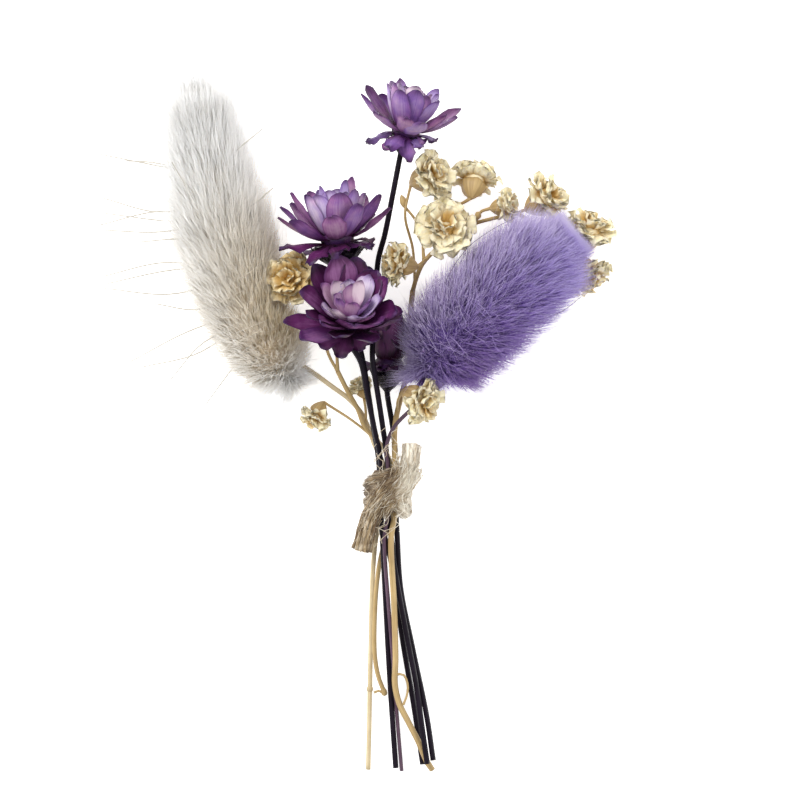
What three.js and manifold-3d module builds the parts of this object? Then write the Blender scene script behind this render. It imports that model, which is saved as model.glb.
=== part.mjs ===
// A small tied bunch of dried flowers, lying on its back: two bunny tail grass heads, four everlasting
// daisies, two sprays of double baby's breath and a tie of jute twine. Millimetres, +X to the right,
// +Y towards the flower heads, +Z up from the surface that the bunch lies on.
import * as THREE from "three";
import { mergeVertices } from "three/addons/utils/BufferGeometryUtils.js";
import Module from "manifold-3d";

const wasm = await Module();
wasm.setup();

// Driving dimensions
const BLACK_STEM_RADIUS = 0.5;
const TAN_STEM_RADIUS = 0.52;
const WHITE_STRAW_RADIUS = 0.42;
const VIOLET_STRAW_RADIUS = 0.34;
const BRANCH_RADIUS = 0.42;
const TWIG_RADIUS = 0.3;
const FINE_TWIG_RADIUS = 0.25;
const TENDRIL_RADIUS = 0.22;
const TENDRIL_STEP = 1.6;
const STEM_SIDES = 6;
const TWIG_SIDES = 4;
const GAP = 0.3; // between pieces that rest on each other

const TIE_X = 5.9;
const TIE_Z = 4.8;
const TIE_TOP_Y = -7;
const TIE_BOTTOM_Y = -16;
const SLOT_RADIUS = 1.6; // of the ring of stems round the middle one
const TIE_HOLE_RADIUS = 2.42;
const TIE_MIDDLE_Y = -11.6;
const TURN_RADIUS = 3.3; // of the twine's turns round the stems
const TURN_THICKNESS = 1.05;
const FRONT_STRAND_WIDTH = 1.5;
const FRONT_STRAND_THICKNESS = 1.3;
const LOBE_WIDTH = 1.2;
const LOBE_THICKNESS = 1.1;
const STRAND_STEP = 3.4;

const PETAL_THICKNESS = 0.6;
const BRACT_TIP = 0.25;
const FUR_CORE = 0.77; // of the fur's own half width
const WHITE_TUFTS = 152;
const VIOLET_TUFTS = 108;
const TUFT_ROOT_RADIUS = 0.9;
const TUFT_SINK = 0.9;
const AWN_RADIUS = 0.34;
const SOCKET_ROOM = 0.15; // round a straw in its head
const SURFACE_Z = 0;

const GOLDEN_TURN = Math.PI * (3 - Math.sqrt(5));
const DEG = Math.PI / 180;

// Colours
const CREAM_FUR = 0xe9e4d6;
const VIOLET_FUR = 0x7a66b0;
const BLACK = 0x0c0612;
const PLUM = 0x4a1a54;
const MAUVE = 0x9a7ab4;
const CREAM_PETAL = 0xe6dcc4;
const TAN = 0xc9a25a;
const PALE_STRAW = 0xcbb98a;
const PURPLE_STRAW = 0x4a2c4c;
const JUTE = 0xb9a27c;

const at = (x, y, z) => new THREE.Vector3(x, y, z);

// Repeatable draws: a fraction from 0 to 1, and a spread from -1 to 1.
function draw(i, k) {
  const s = Math.sin(i * 12.9898 + k * 78.233) * 43758.5453;
  return s - Math.floor(s);
}
const spread = (i, k) => 2 * draw(i, k) - 1;

function material(name, color, roughness) {
  return new THREE.MeshStandardMaterial({ name, color, roughness, metalness: 0 });
}

// Solids

function solidOf(geometry) {
  const plain = geometry.index ? geometry.toNonIndexed() : geometry;
  plain.deleteAttribute("normal");
  plain.deleteAttribute("uv");
  const merged = mergeVertices(plain, 1e-4);
  const corners = merged.index.array;
  const kept = [];
  for (let i = 0; i < corners.length; i += 3) {
    const [a, b, c] = [corners[i], corners[i + 1], corners[i + 2]];
    if (a !== b && b !== c && c !== a) kept.push(a, b, c);
  }
  const build = (triVerts) =>
    new wasm.Manifold(
      new wasm.Mesh({
        numProp: 3,
        vertProperties: Float32Array.from(merged.attributes.position.array),
        triVerts: Uint32Array.from(triVerts),
      }),
    );
  const made = build(kept);
  return made.volume() > 0 ? made : build(kept.reverse());
}

function geometryOf(solid) {
  const mesh = solid.getMesh();
  const geometry = new THREE.BufferGeometry();
  geometry.setAttribute("position", new THREE.BufferAttribute(mesh.vertProperties, 3));
  geometry.setIndex(new THREE.BufferAttribute(mesh.triVerts, 1));
  geometry.computeVertexNormals();
  return geometry;
}

// Joins solids into one body and leaves out loose scraps.
function join(solids) {
  const bodies = wasm.Manifold.union(solids).decompose();
  return bodies.reduce((best, body) => (body.volume() > best.volume() ? body : best));
}

const group = new THREE.Group();
function addNode(name, solid, finish) {
  const mesh = new THREE.Mesh(geometryOf(solid), finish);
  mesh.name = name;
  group.add(mesh);
}

// Skins a list of rings, each a loop of as many points, and closes both ends. A ring of one repeated
// point makes a tip.
function skin(rings) {
  const count = rings[0].length;
  const corners = [];
  const quad = (r, i) => {
    const j = (i + 1) % count;
    corners.push(rings[r][i], rings[r][j], rings[r + 1][j]);
    corners.push(rings[r][i], rings[r + 1][j], rings[r + 1][i]);
  };
  for (let r = 0; r + 1 < rings.length; r++) for (let i = 0; i < count; i++) quad(r, i);
  const [first, last] = [rings[0], rings[rings.length - 1]];
  for (let i = 1; i + 1 < count; i++) {
    corners.push(first[0], first[i + 1], first[i]);
    corners.push(last[0], last[i], last[i + 1]);
  }
  return solidOf(new THREE.BufferGeometry().setFromPoints(corners));
}

// A tube of even thickness along a smooth curve through the points.
function tube(points, radius, stepLength = 6, sides = STEM_SIDES) {
  const path = new THREE.CatmullRomCurve3(points, false, "centripetal");
  const outline = new THREE.Shape().absarc(0, 0, radius, 0, 2 * Math.PI);
  const steps = Math.max(2, Math.ceil(path.getLength() / stepLength));
  const options = { steps, bevelEnabled: false, extrudePath: path, curveSegments: sides / 2 };
  return solidOf(new THREE.ExtrudeGeometry(outline, options));
}
const TWIG_STEP = 4.5;
const twig = (points) => tube(points, TWIG_RADIUS, TWIG_STEP, TWIG_SIDES);
const fineTwig = (points) => tube(points, FINE_TWIG_RADIUS, TWIG_STEP, TWIG_SIDES);

// A turned shape: pairs of height along the axis and radius, placed at a centre.
function turned(profile, centre, axis, sides) {
  const points = profile.map(([height, radius]) => new THREE.Vector2(radius, height));
  const geometry = new THREE.LatheGeometry(points, sides);
  const turn = new THREE.Quaternion().setFromUnitVectors(at(0, 1, 0), axis);
  geometry.applyQuaternion(turn).translate(centre.x, centre.y, centre.z);
  return solidOf(geometry);
}

// Room kept for neighbours: each is a capsule, a stretch from a to b with a radius.
const room = (a, b, radius) => ({ a, b, radius });
const ball = (centre, radius) => room(centre, centre, radius);
const along = (points, radius) =>
  points.slice(1).map((point, i) => room(points[i], point, radius));

function isClear(points, margin, rooms) {
  const nearest = at(0, 0, 0);
  return rooms.every(({ a, b, radius }) => {
    const stretch = new THREE.Line3(a, b);
    return points.every((point) => {
      if (a.equals(b)) nearest.copy(a);
      else stretch.closestPointToPoint(point, true, nearest);
      return nearest.distanceTo(point) > radius + margin;
    });
  });
}

// The frame of a flower: its axis, its side and its front, which faces up from the surface.
function flowerFrame(axis) {
  const up = axis.clone().normalize();
  const side = new THREE.Vector3().crossVectors(up, at(0, 0, 1)).normalize();
  const front = new THREE.Vector3().crossVectors(side, up);
  return { up, side, front };
}

// A petal's midline in its own plane: distance out and height from the flower's centre, and the lean
// from the axis, which goes from lean to lean + curl along the petal.
function midline({ rootOut, rootHeight, length, lean, curl }, steps) {
  const line = [{ out: rootOut, height: rootHeight, angle: lean * DEG }];
  for (let k = 1; k <= steps; k++) {
    const angle = (lean + curl * (k / steps)) * DEG;
    const before = line[k - 1];
    const step = length / steps;
    const mean = (before.angle + angle) / 2;
    const out = before.out + step * Math.sin(mean);
    line.push({ out, height: before.height + step * Math.cos(mean), angle });
  }
  return line;
}

// Half width along a bract: a waisted root, the widest place past the middle and a blunt tip.
function bractWidth(share, width) {
  const swell = 0.24 + 0.76 * Math.sin(Math.PI * Math.min(1, share * 0.78));
  const taper = Math.pow(1 - Math.pow(share, 4.5), 0.65);
  return (width / 2) * Math.max(BRACT_TIP, swell * taper);
}

// Half width along a floret petal: it spreads towards a blunt, ruffled edge.
const fanWidth = (share, width) => (width / 2) * (0.3 + 0.7 * Math.sin(share * 1.9));

// One petal of a flower, as a curved blade with a three-sided section: two edges and a keel on the side
// that bulges.
function petal(flower, shape) {
  const { centre, frame } = flower;
  const steps = shape.steps ?? 3;
  const turn = shape.azimuth * DEG;
  const out = frame.side.clone().multiplyScalar(Math.cos(turn));
  out.addScaledVector(frame.front, Math.sin(turn));
  const across = frame.front.clone().multiplyScalar(Math.cos(turn));
  across.addScaledVector(frame.side, -Math.sin(turn));
  const bulge = Math.sign(shape.cup);
  const line = midline(shape, steps);
  const middles = line.map(({ out: far, height }) =>
    centre.clone().addScaledVector(out, far).addScaledVector(frame.up, height),
  );
  const rings = line.map(({ angle }, k) => {
    const share = k / steps;
    const width = shape.fan ? fanWidth(share, shape.width) : bractWidth(share, shape.width);
    const depth = Math.max(PETAL_THICKNESS, Math.abs(shape.cup) * width);
    const inward = frame.up.clone().multiplyScalar(Math.sin(angle));
    inward.addScaledVector(out, -Math.cos(angle));
    const keel = middles[k].clone().addScaledVector(inward, (-bulge * PETAL_THICKNESS) / 2);
    const rim = keel.clone().addScaledVector(inward, bulge * depth);
    const edge = (side) => rim.clone().addScaledVector(across, side * width);
    return [edge(-1), keel, edge(1)];
  });
  return { solid: () => skin(rings), path: middles };
}

// A row of petals round a flower. A petal that would meet a neighbour is shortened, then turned aside,
// and left out if there is no room at all.
const SHORTER = [1, 0.8, 0.62, 0.45];
const ASIDE = [0, 7, -7, 13, -13];
function petalRow(flower, row, rooms) {
  const made = [];
  for (let i = 0; i < row.count; i++) {
    const key = i + row.seed;
    const shape = {
      ...row,
      azimuth: (360 * (i + 0.28 * spread(key, 1))) / row.count + row.turn,
      length: row.length * (1 + 0.12 * spread(key, 2)),
      width: row.width * (1 + 0.15 * spread(key, 3)),
      lean: row.lean + row.unrest * spread(key, 4),
      curl: row.curl + row.unrest * spread(key, 5),
    };
    const tries = SHORTER.flatMap((share) =>
      ASIDE.map((turn) => ({
        ...shape,
        length: shape.length * share,
        azimuth: shape.azimuth + turn,
      })),
    );
    const fitting = tries
      .map((attempt) => petal(flower, attempt))
      .find(({ path }) => isClear(path.slice(1), row.width * 0.35, rooms));
    if (fitting) made.push(fitting.solid());
  }
  return made;
}

// Everlasting daisies

// A black stem that opens into its calyx.
function daisyStem(name, flower) {
  const { centre, frame, size } = flower;
  const cup = [
    [-5.0, 0],
    [-5.0, 0.55],
    [-3.9, 0.9 + 1.3 * flower.bowl],
    [-2.2, 1.9 + 1.9 * flower.bowl],
    [-1.0, 2.1 + 0.9 * flower.bowl],
    [-1.0, 0],
  ].map(([height, radius]) => [height * size, radius * size]);
  const calyx = turned(cup, centre, frame.up, 9);
  const into = centre.clone().addScaledVector(frame.up, -3.5 * size);
  const route = [...flower.route, flower.foot, into];
  addNode(name, join([calyx, tube(route, BLACK_STEM_RADIUS)]), material("black_stem", BLACK, 0.35));
}

function outerBracts(name, flower, rooms) {
  const { centre, frame, size } = flower;
  const floor = -1.0 * size + GAP;
  const core = turned(
    [
      [floor, 0],
      [floor, 2.2 * size],
      [floor + 1.2 * size, 3.1 * size],
      [floor + 2.1 * size, 2.4 * size],
      [floor + 2.1 * size, 0],
    ],
    centre,
    frame.up,
    8,
  );
  const rows = flower.outer.map((row) => ({
    ...row,
    rootOut: 1.7 * size,
    rootHeight: floor + row.rise * size,
    length: row.length * size,
    width: row.width * size,
  }));
  const petals = rows.flatMap((row) => petalRow(flower, row, rooms));
  return { name, solid: join([core, ...petals]) };
}

function innerBracts(name, flower, rooms) {
  const { centre, frame, size } = flower;
  const floor = 1.1 * size + 2 * GAP;
  const core = turned(
    [
      [floor, 0],
      [floor, 2.0 * size],
      [floor + 1.2 * size, 2.1 * size],
      [floor + 2.1 * size, 1.2 * size],
      [floor + 2.1 * size, 0],
    ],
    centre,
    frame.up,
    8,
  );
  const rows = flower.inner.map((row) => ({
    ...row,
    rootOut: 1.55 * size,
    rootHeight: floor + 0.35 * size,
    length: row.length * size,
    width: row.width * size,
  }));
  const petals = rows.flatMap((row) => petalRow(flower, row, rooms));
  return { name, solid: join([core, ...petals]) };
}

function daisy(number, flower, rooms) {
  flower.frame = flowerFrame(flower.axis);
  flower.foot = flower.centre.clone().addScaledVector(flower.frame.up, -4.8 * flower.size);
  daisyStem(`daisy_${number}_stem_and_calyx`, flower);
  const inner = innerBracts(`daisy_${number}_inner_bracts`, flower, rooms);
  const outer = outerBracts(`daisy_${number}_outer_bracts`, flower, rooms);
  addNode(outer.name, outer.solid, material("outer_bract", PLUM, 0.5));
  addNode(inner.name, inner.solid, material("inner_bract", MAUVE, 0.5));
}

// Where each stem runs through the tie: an angle on the ring of stems, or the middle.
function slot(angle, radius = SLOT_RADIUS) {
  const x = TIE_X + radius * Math.cos(angle * DEG);
  const z = TIE_Z + radius * Math.sin(angle * DEG);
  return [at(x, TIE_BOTTOM_Y, z), at(x, TIE_TOP_Y, z)];
}
const SLOTS = {
  violet: slot(90),
  daisy3: slot(139),
  daisy2: slot(187),
  white: slot(236),
  left: slot(286),
  daisy4: slot(340),
  right: slot(38),
  daisy1: slot(0, 0),
};

// Each route runs from the cut end up through the tie to the head.
const DAISY_1_ROUTE = [
  at(13, -61.3, 3.4),
  at(12.2, -55.6, 3.6),
  at(10.9, -46.4, 3.9),
  at(9.3, -38, 4.2),
  at(7.2, -26.2, 4.6),
  at(6.5, -20, 4.75),
  ...SLOTS.daisy1,
  at(5.0, 0, 7.6),
  at(4.1, 6, 10.0),
  at(3.2, 12, 11.4),
  at(3.4, 18, 9.8),
  at(3.8, 25, 7.8),
  at(4.2, 30, 7.4),
  at(5.4, 34.6, 8.0),
  at(6.8, 41.6, 9.4),
];
const DAISY_2_ROUTE = [
  at(12.2, -61.6, 0.55),
  at(11.3, -55.6, 0.75),
  at(10.4, -49.8, 1.0),
  at(8.8, -40.5, 1.7),
  at(7.6, -32.4, 2.3),
  at(6.5, -24.7, 3.0),
  at(5.3, -20, 3.7),
  ...SLOTS.daisy2,
  at(3.3, 0, 6.2),
  at(2.4, 6, 7.6),
  at(1.4, 12, 8.6),
  at(0, 18, 7.8),
  at(-1.2, 23, 7.8),
  at(-2.0, 26.4, 9.8),
];
const DAISY_3_ROUTE = [
  at(7.3, -62.2, 1.4),
  at(6.6, -52, 2.1),
  at(6.0, -42, 3.0),
  at(5.5, -32, 3.9),
  at(4.9, -20, 4.9),
  ...SLOTS.daisy3,
  at(3.4, 0, 8.4),
  at(2.2, 6, 10.4),
  at(1.1, 11.5, 12.0),
];
const DAISY_4_ROUTE = [
  at(14.1, -60.7, 2.8),
  at(12.9, -52.6, 2.8),
  at(10.4, -40.5, 2.7),
  at(8.2, -29.3, 3.2),
  at(7.6, -20, 3.8),
  ...SLOTS.daisy4,
  at(6.9, -1, 4.5),
];
const VIOLET_STRAW_ROUTE = [
  at(8.4, -62.8, 0.8),
  at(7.5, -52, 2.0),
  at(6.8, -42, 3.6),
  at(6.0, -32, 4.8),
  at(5.3, -20, 5.95),
  ...SLOTS.violet,
  at(5.6, -4, 7.2),
  at(6.9, -0.4, 8.4),
  at(10.0, 2.9, 9.0),
  at(13.4, 5.6, 9.2),
  at(17.2, 8.8, 9.3),
];
const WHITE_STRAW_ROUTE = [
  at(2.3, -62.6, 0.5),
  at(2.5, -54.1, 0.7),
  at(2.6, -47.9, 0.9),
  at(2.8, -38.6, 1.3),
  at(3.2, -26, 2.0),
  at(3.9, -19.5, 2.7),
  ...SLOTS.white,
  at(3.5, -3.5, 2.3),
  at(1.3, 2, 3.0),
  at(-1.3, 5, 4.2),
  at(-4, 7, 5.4),
  at(-7.7, 9.7, 6.8),
  at(-12, 12.4, 7.5),
];
const LEFT_SPRAY_ROUTE = [
  at(5.2, -48.4, 1.4),
  at(4.2, -45.7, 1.9),
  at(3.5, -41.7, 2.2),
  at(3.6, -32, 2.6),
  at(4.2, -26, 2.5),
  at(5.3, -20.5, 2.3),
  ...SLOTS.left,
  at(5.6, -4.8, 3.7),
  at(3.8, -2.5, 4.1),
  at(1.8, -0.4, 4.6),
  at(0.4, 3.1, 5.0),
  at(-1.3, 6.1, 5.4),
  at(-3.2, 9.9, 5.6),
];
const RIGHT_SPRAY_ROUTE = [
  at(14.0, -62.6, 1.3),
  at(13.1, -61.2, 1.6),
  at(11.5, -57.5, 2.2),
  at(9.5, -53.5, 2.9),
  at(8.0, -50.4, 3.7),
  at(7.2, -46.8, 4.4),
  at(7.3, -42, 4.9),
  at(7.0, -32, 5.6),
  at(6.5, -20, 6.1),
  ...SLOTS.right,
  at(7.2, 0, 6.2),
  at(8.2, 5, 4.0),
  at(9.5, 10, 1.8),
  at(9.9, 15, 1.5),
  at(10.0, 20, 2.6),
  at(10.4, 24.5, 5.0),
];

// Bunny tails

const WHITE_TAIL = {
  name: "white_tail_head",
  spine: [
    at(-11.2, 8.0, 7.3),
    at(-15.2, 12.8, 7.8),
    at(-18.8, 19.0, 8.2),
    at(-21.5, 26.3, 8.5),
    at(-23.5, 33.5, 8.5),
    at(-25.2, 40.7, 8.1),
    at(-26.6, 47.9, 7.4),
    at(-27.9, 55.1, 6.6),
    at(-29.9, 63.4, 6.2),
  ],
  halfWidths: [5.4, 7.4, 8.6, 9.3, 9.5, 8.9, 7.3, 5.2, 0.8],
  tufts: WHITE_TUFTS,
  lean: [-42, 30, 44, 50, 54, 58, 62, 68, 76],
  seed: 11,
};
const VIOLET_TAIL = {
  name: "violet_tail_head",
  spine: [
    at(12.4, 9.6, 9.0),
    at(15.4, 13.4, 9.2),
    at(20.6, 18.4, 9.6),
    at(26.2, 23.6, 10.6),
    at(31.6, 28.4, 11.8),
    at(36.6, 32.8, 12.8),
    at(40.8, 36.8, 13.4),
  ],
  halfWidths: [6.0, 8.6, 9.6, 9.8, 9.2, 7.4, 1.2],
  tufts: VIOLET_TUFTS,
  lean: [-50, 6, 34, 46, 52, 60, 74],
  seed: 57,
};

// A value from a list, read at a share from 0 to 1 of the list's length.
function readAt(list, share) {
  const place = Math.min(0.9999, Math.max(0, share)) * (list.length - 1);
  const k = Math.floor(place);
  return list[k] + (list[k + 1] - list[k]) * (place - k);
}

// The tail's frame at a share of its spine: the middle, the way along, and two ways across.
function tailFrame(tail, share) {
  const curve = tail.curve;
  const middle = curve.getPoint(share);
  const forward = curve.getTangent(share);
  const side = new THREE.Vector3().crossVectors(forward, at(0, 0, 1)).normalize();
  const front = new THREE.Vector3().crossVectors(side, forward);
  return { middle, forward, side, front };
}

function tailCore(tail) {
  const rings = [];
  const RINGS = 6;
  const SIDES = 6;
  for (let r = 0; r <= RINGS; r++) {
    const share = 0.03 + (0.92 * r) / RINGS;
    const { middle, side, front } = tailFrame(tail, share);
    const end = Math.min(1, Math.min(r, RINGS - r) / 2 + 0.45);
    const radius = FUR_CORE * readAt(tail.halfWidths, share) * Math.sqrt(end);
    const ring = [];
    for (let i = 0; i < SIDES; i++) {
      const turn = (2 * Math.PI * i) / SIDES;
      const point = middle.clone().addScaledVector(side, radius * Math.cos(turn));
      ring.push(point.addScaledVector(front, radius * Math.sin(turn)));
    }
    rings.push(ring);
  }
  return skin(rings);
}

// One tuft: a three-sided spike.
function tuft(root, tip, radius) {
  const way = tip.clone().sub(root).normalize();
  const side = new THREE.Vector3().crossVectors(way, at(0.3, 0.2, 0.93)).normalize();
  const other = new THREE.Vector3().crossVectors(way, side);
  const ring = [0, 1, 2].map((i) => {
    const turn = (2 * Math.PI * i) / 3;
    const point = root.clone().addScaledVector(side, radius * Math.cos(turn));
    return point.addScaledVector(other, radius * Math.sin(turn));
  });
  return skin([ring, [tip, tip, tip]]);
}

// Tufts from base to tip, a golden turn apart. A tuft that would go under the surface lies on it.
function tailTufts(tail, rooms) {
  const made = [];
  for (let i = 0; i < tail.tufts; i++) {
    const share = Math.pow((i + 0.5) / tail.tufts, 0.94) * 0.955 + 0.012;
    const { middle, forward, side, front } = tailFrame(tail, share);
    const turn = i * GOLDEN_TURN;
    const outward = side.clone().multiplyScalar(Math.cos(turn));
    outward.addScaledVector(front, Math.sin(turn));
    const halfWidth = readAt(tail.halfWidths, share);
    const lean = (readAt(tail.lean, share) + 9 * spread(i, tail.seed)) * DEG;
    const way = outward.clone().multiplyScalar(Math.cos(lean));
    way.addScaledVector(forward, Math.sin(lean));
    const reach = (halfWidth * (1 - FUR_CORE)) / Math.max(0.42, Math.cos(lean));
    const length = reach * (1 + 0.14 * spread(i, tail.seed + 1));
    const root = middle.clone().addScaledVector(outward, FUR_CORE * halfWidth - TUFT_SINK);
    const tip = root.clone().addScaledVector(way, length + TUFT_SINK);
    tip.z = Math.max(SURFACE_Z, tip.z);
    root.z = Math.max(SURFACE_Z + TUFT_ROOT_RADIUS, root.z);
    const half = root.clone().lerp(tip, 0.55);
    if (isClear([tip, half], 0.45, rooms)) made.push(tuft(root, tip, TUFT_ROOT_RADIUS));
  }
  return made;
}

// The long awns of the white tail: where each starts along the spine, and where its tip is.
const WHITE_AWNS = [
  [0.7, at(-45.9, 49.0, 7.6)],
  [0.62, at(-45.6, 41.2, 5.8)],
  [0.57, at(-45.8, 36.2, 9.6)],
  [0.4, at(-45.7, 27.0, 6.4)],
  [0.38, at(-45.2, 24.8, 9.2)],
  [0.28, at(-40.6, 11.6, 6.6)],
  [0.24, at(-33.2, 8.4, 8.6)],
  [0.66, at(-16.4, 53.4, 12.5)],
  [0.5, at(-32.5, 47.0, 17.5)],
];
function whiteAwns() {
  return WHITE_AWNS.map(([share, tip]) => {
    const { middle } = tailFrame(WHITE_TAIL, share);
    return tuft(middle, tip, AWN_RADIUS);
  });
}

// The straw runs into its head, which has a plain socket for it.
function strawSocket(route, radius) {
  return tube(route.slice(-3), radius + SOCKET_ROOM);
}

function bunnyTails(whiteRooms, violetRooms) {
  for (const tail of [WHITE_TAIL, VIOLET_TAIL])
    tail.curve = new THREE.CatmullRomCurve3(tail.spine, false, "centripetal");
  const white = join([tailCore(WHITE_TAIL), ...tailTufts(WHITE_TAIL, whiteRooms), ...whiteAwns()]);
  const violet = join([tailCore(VIOLET_TAIL), ...tailTufts(VIOLET_TAIL, violetRooms)]);
  const whiteHole = strawSocket(WHITE_STRAW_ROUTE, WHITE_STRAW_RADIUS);
  const violetHole = strawSocket(VIOLET_STRAW_ROUTE, VIOLET_STRAW_RADIUS);
  addNode(WHITE_TAIL.name, join([white.subtract(whiteHole)]), material("white_fur", CREAM_FUR, 0.9));
  addNode(VIOLET_TAIL.name, join([violet.subtract(violetHole)]), material("violet_fur", VIOLET_FUR, 0.9));
}

function straws() {
  const collar = [
    [-0.35, 0],
    [-0.35, 0.58],
    [0.35, 0.58],
    [0.35, 0],
  ];
  const ring = turned(collar, WHITE_STRAW_ROUTE[2], at(0, 1, 0), 8);
  const white = join([tube(WHITE_STRAW_ROUTE, WHITE_STRAW_RADIUS), ring]);
  addNode("white_tail_straw", white, material("pale_straw", PALE_STRAW, 0.6));
  const violet = tube(VIOLET_STRAW_ROUTE, VIOLET_STRAW_RADIUS);
  addNode("violet_tail_straw", violet, material("purple_straw", PURPLE_STRAW, 0.5));
}

// Baby's breath

const FLORETS = [
  { name: "floret_upper_left", centre: at(13.5, 44.8, 11), axis: at(0.82, 0.28, 0.5), radius: 4.4 },
  { name: "floret_upper_middle", centre: at(21.5, 44.4, 7.2), axis: at(0.1, 0.55, -0.35), radius: 4.2 },
  { name: "floret_front", centre: at(16.2, 35.4, 12), axis: at(0.12, 0.25, 0.95), radius: 4.9 },
  { name: "floret_above_daisy", centre: at(7.9, 29.0, 12.6), axis: at(-0.9, 0.1, 0.3), radius: 3.7 },
  { name: "floret_small_right", centre: at(26.9, 39.6, 9.6), axis: at(0.93, 0.15, 0.3), radius: 2.7 },
  { name: "floret_far_right", centre: at(34.4, 41.0, 5.2), axis: at(0.75, 0.4, 0.3), radius: 4.4 },
  { name: "floret_behind_tail_upper", centre: at(42.3, 35.2, 4.9), axis: at(0.3, 0.7, 0.2), radius: 3.7 },
  { name: "floret_behind_tail_lower", centre: at(41.9, 27.6, 4.6), axis: at(0.5, -0.7, 0.2), radius: 3.6 },
  { name: "floret_left", centre: at(-11.2, 26.4, 13.4), axis: at(-0.35, 0.1, 0.9), radius: 4.3 },
  { name: "floret_nodding", centre: at(-7.0, 1.9, 5.6), axis: at(-0.45, -0.85, 0.1), radius: 2.9 },
  { name: "floret_lower_right", centre: at(11.7, 4.8, 12.6), axis: at(0.75, -0.35, 0.45), radius: 4.1 },
  { name: "floret_behind_stems", centre: at(0.9, 7.0, 2.9), axis: at(-0.3, 0.9, 0.2), radius: 2.2 },
];

function floretFrames() {
  for (const floret of FLORETS) {
    floret.frame = flowerFrame(floret.axis);
    floret.foot = floret.centre.clone().addScaledVector(floret.frame.up, -0.95 * floret.radius);
  }
}

function calyx({ centre, frame, radius: size }) {
  const bell = [
    [-1.0, 0],
    [-0.72, 0.3],
    [-0.38, 0.42],
    [-0.38, 0],
  ].map(([height, radius]) => [height * size, radius * size]);
  return turned(bell, centre, frame.up, 6);
}

// Rows of crumpled petals; lengths and widths are shares of the floret's radius.
const FLORET_ROWS = [
  { count: 5, lean: 94, curl: -16, length: 0.68, width: 1.0, turn: 10 },
  { count: 4, lean: 54, curl: 8, length: 0.62, width: 0.95, turn: 48 },
  { count: 1, lean: -20, curl: 6, length: 0.9, width: 0.9, turn: 20 },
];

// The rows sit on a small heart.
function floretBloom(floret, rooms, key) {
  const { centre, frame, radius: size } = floret;
  const floor = -0.38 * size + GAP;
  const heart = [
    [floor, 0],
    [floor, 0.3 * size],
    [0.05 * size, 0.56 * size],
    [0.42 * size, 0.36 * size],
    [0.42 * size, 0],
  ];
  const rows = FLORET_ROWS.map((row, k) => ({
    ...row,
    steps: 1,
    rootOut: 0.44 * size,
    rootHeight: 0.02 * size,
    length: row.length * size,
    width: row.width * size,
    unrest: 13,
    seed: 40 * key + 9 * k,
    cup: 0.25,
    fan: true,
  }));
  const petals = rows.flatMap((row) => petalRow(floret, row, rooms));
  const bloom = join([turned(heart, centre, frame.up, 6), ...petals]);
  addNode(floret.name, bloom, material("cream_petal", CREAM_PETAL, 0.8));
}

function bud(foot, way, size) {
  const drop = [
    [-0.2, 0],
    [-0.2, 0.2],
    [0.5, 0.52],
    [1.1, 0.5],
    [1.7, 0.15],
    [1.7, 0],
  ].map(([height, radius]) => [height * size, radius * size]);
  return turned(drop, foot, way.normalize(), 6);
}

const byName = (name) => FLORETS.find((floret) => floret.name === name);
const footOf = (name) => byName(name).foot;
const tendril = (points) => tube(points, TENDRIL_RADIUS, TENDRIL_STEP, TWIG_SIDES);

function rightSpray() {
  const fork = RIGHT_SPRAY_ROUTE[RIGHT_SPRAY_ROUTE.length - 1];
  const elbow = at(12.4, 29.6, 7.2);
  const bend = at(16.4, 33.4, 7.0);
  const knee = at(21.5, 36.6, 7.4);
  const joint = at(29.4, 38.4, 6.6);
  const side = at(12.4, 33.6, 6.6);
  const pieces = [
    tube(RIGHT_SPRAY_ROUTE, TAN_STEM_RADIUS),
    tube([fork, at(11.2, 27.2, 6.2), elbow, bend, knee], BRANCH_RADIUS),
    tube([knee, at(25.4, 37.6, 7.1), joint], BRANCH_RADIUS - 0.06),
    twig([joint, at(30.2, 38.9, 6.2), footOf("floret_far_right")]),
    twig([joint, at(34.5, 35.4, 4.6), at(39.4, 32.2, 3.8), footOf("floret_behind_tail_upper")]),
    twig([at(36.5, 34.1, 4.2), at(39.6, 31.4, 4.2), footOf("floret_behind_tail_lower")]),
    twig([knee, at(22.6, 38.6, 7.6), footOf("floret_small_right")]),
    twig([bend, at(16.0, 34.2, 7.2), footOf("floret_front")]),
    twig([elbow, side, at(15.0, 38.6, 6.6), at(19.4, 40.2, 8.4), footOf("floret_upper_middle")]),
    twig([elbow, at(12.6, 29.8, 9.6), footOf("floret_above_daisy")]),
    fineTwig([at(10.8, 26, 5.7), at(10.4, 32, 6.6), at(9.0, 38, 9.0), footOf("floret_upper_left")]),
    fineTwig([at(7.6, 2.5, 5.3), at(7.7, 4.6, 8.0), footOf("floret_lower_right")]),
    fineTwig([side, at(10.8, 37.2, 8.6), at(8.9, 39.6, 8.4)]),
    fineTwig([knee, at(22.0, 37.6, 9.0)]),
    bud(at(9.0, 39.5, 8.4), at(-0.3, 0.9, 0.1), 1.3),
    bud(at(22.0, 37.4, 8.8), at(0.1, 0.5, 0.8), 1.2),
    tendril([at(7.3, -45, 4.6), at(8.7, -45, 4.8), at(9.5, -46.9, 4.7), at(9.3, -49, 4.5), at(8.7, -50.5, 4.3)]),
  ];
  const bells = FLORETS.filter(({ centre }) => centre.x > TIE_X).map(calyx);
  addNode("right_spray_stems", join([...pieces, ...bells]), material("tan_stem", TAN, 0.6));
}

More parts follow.
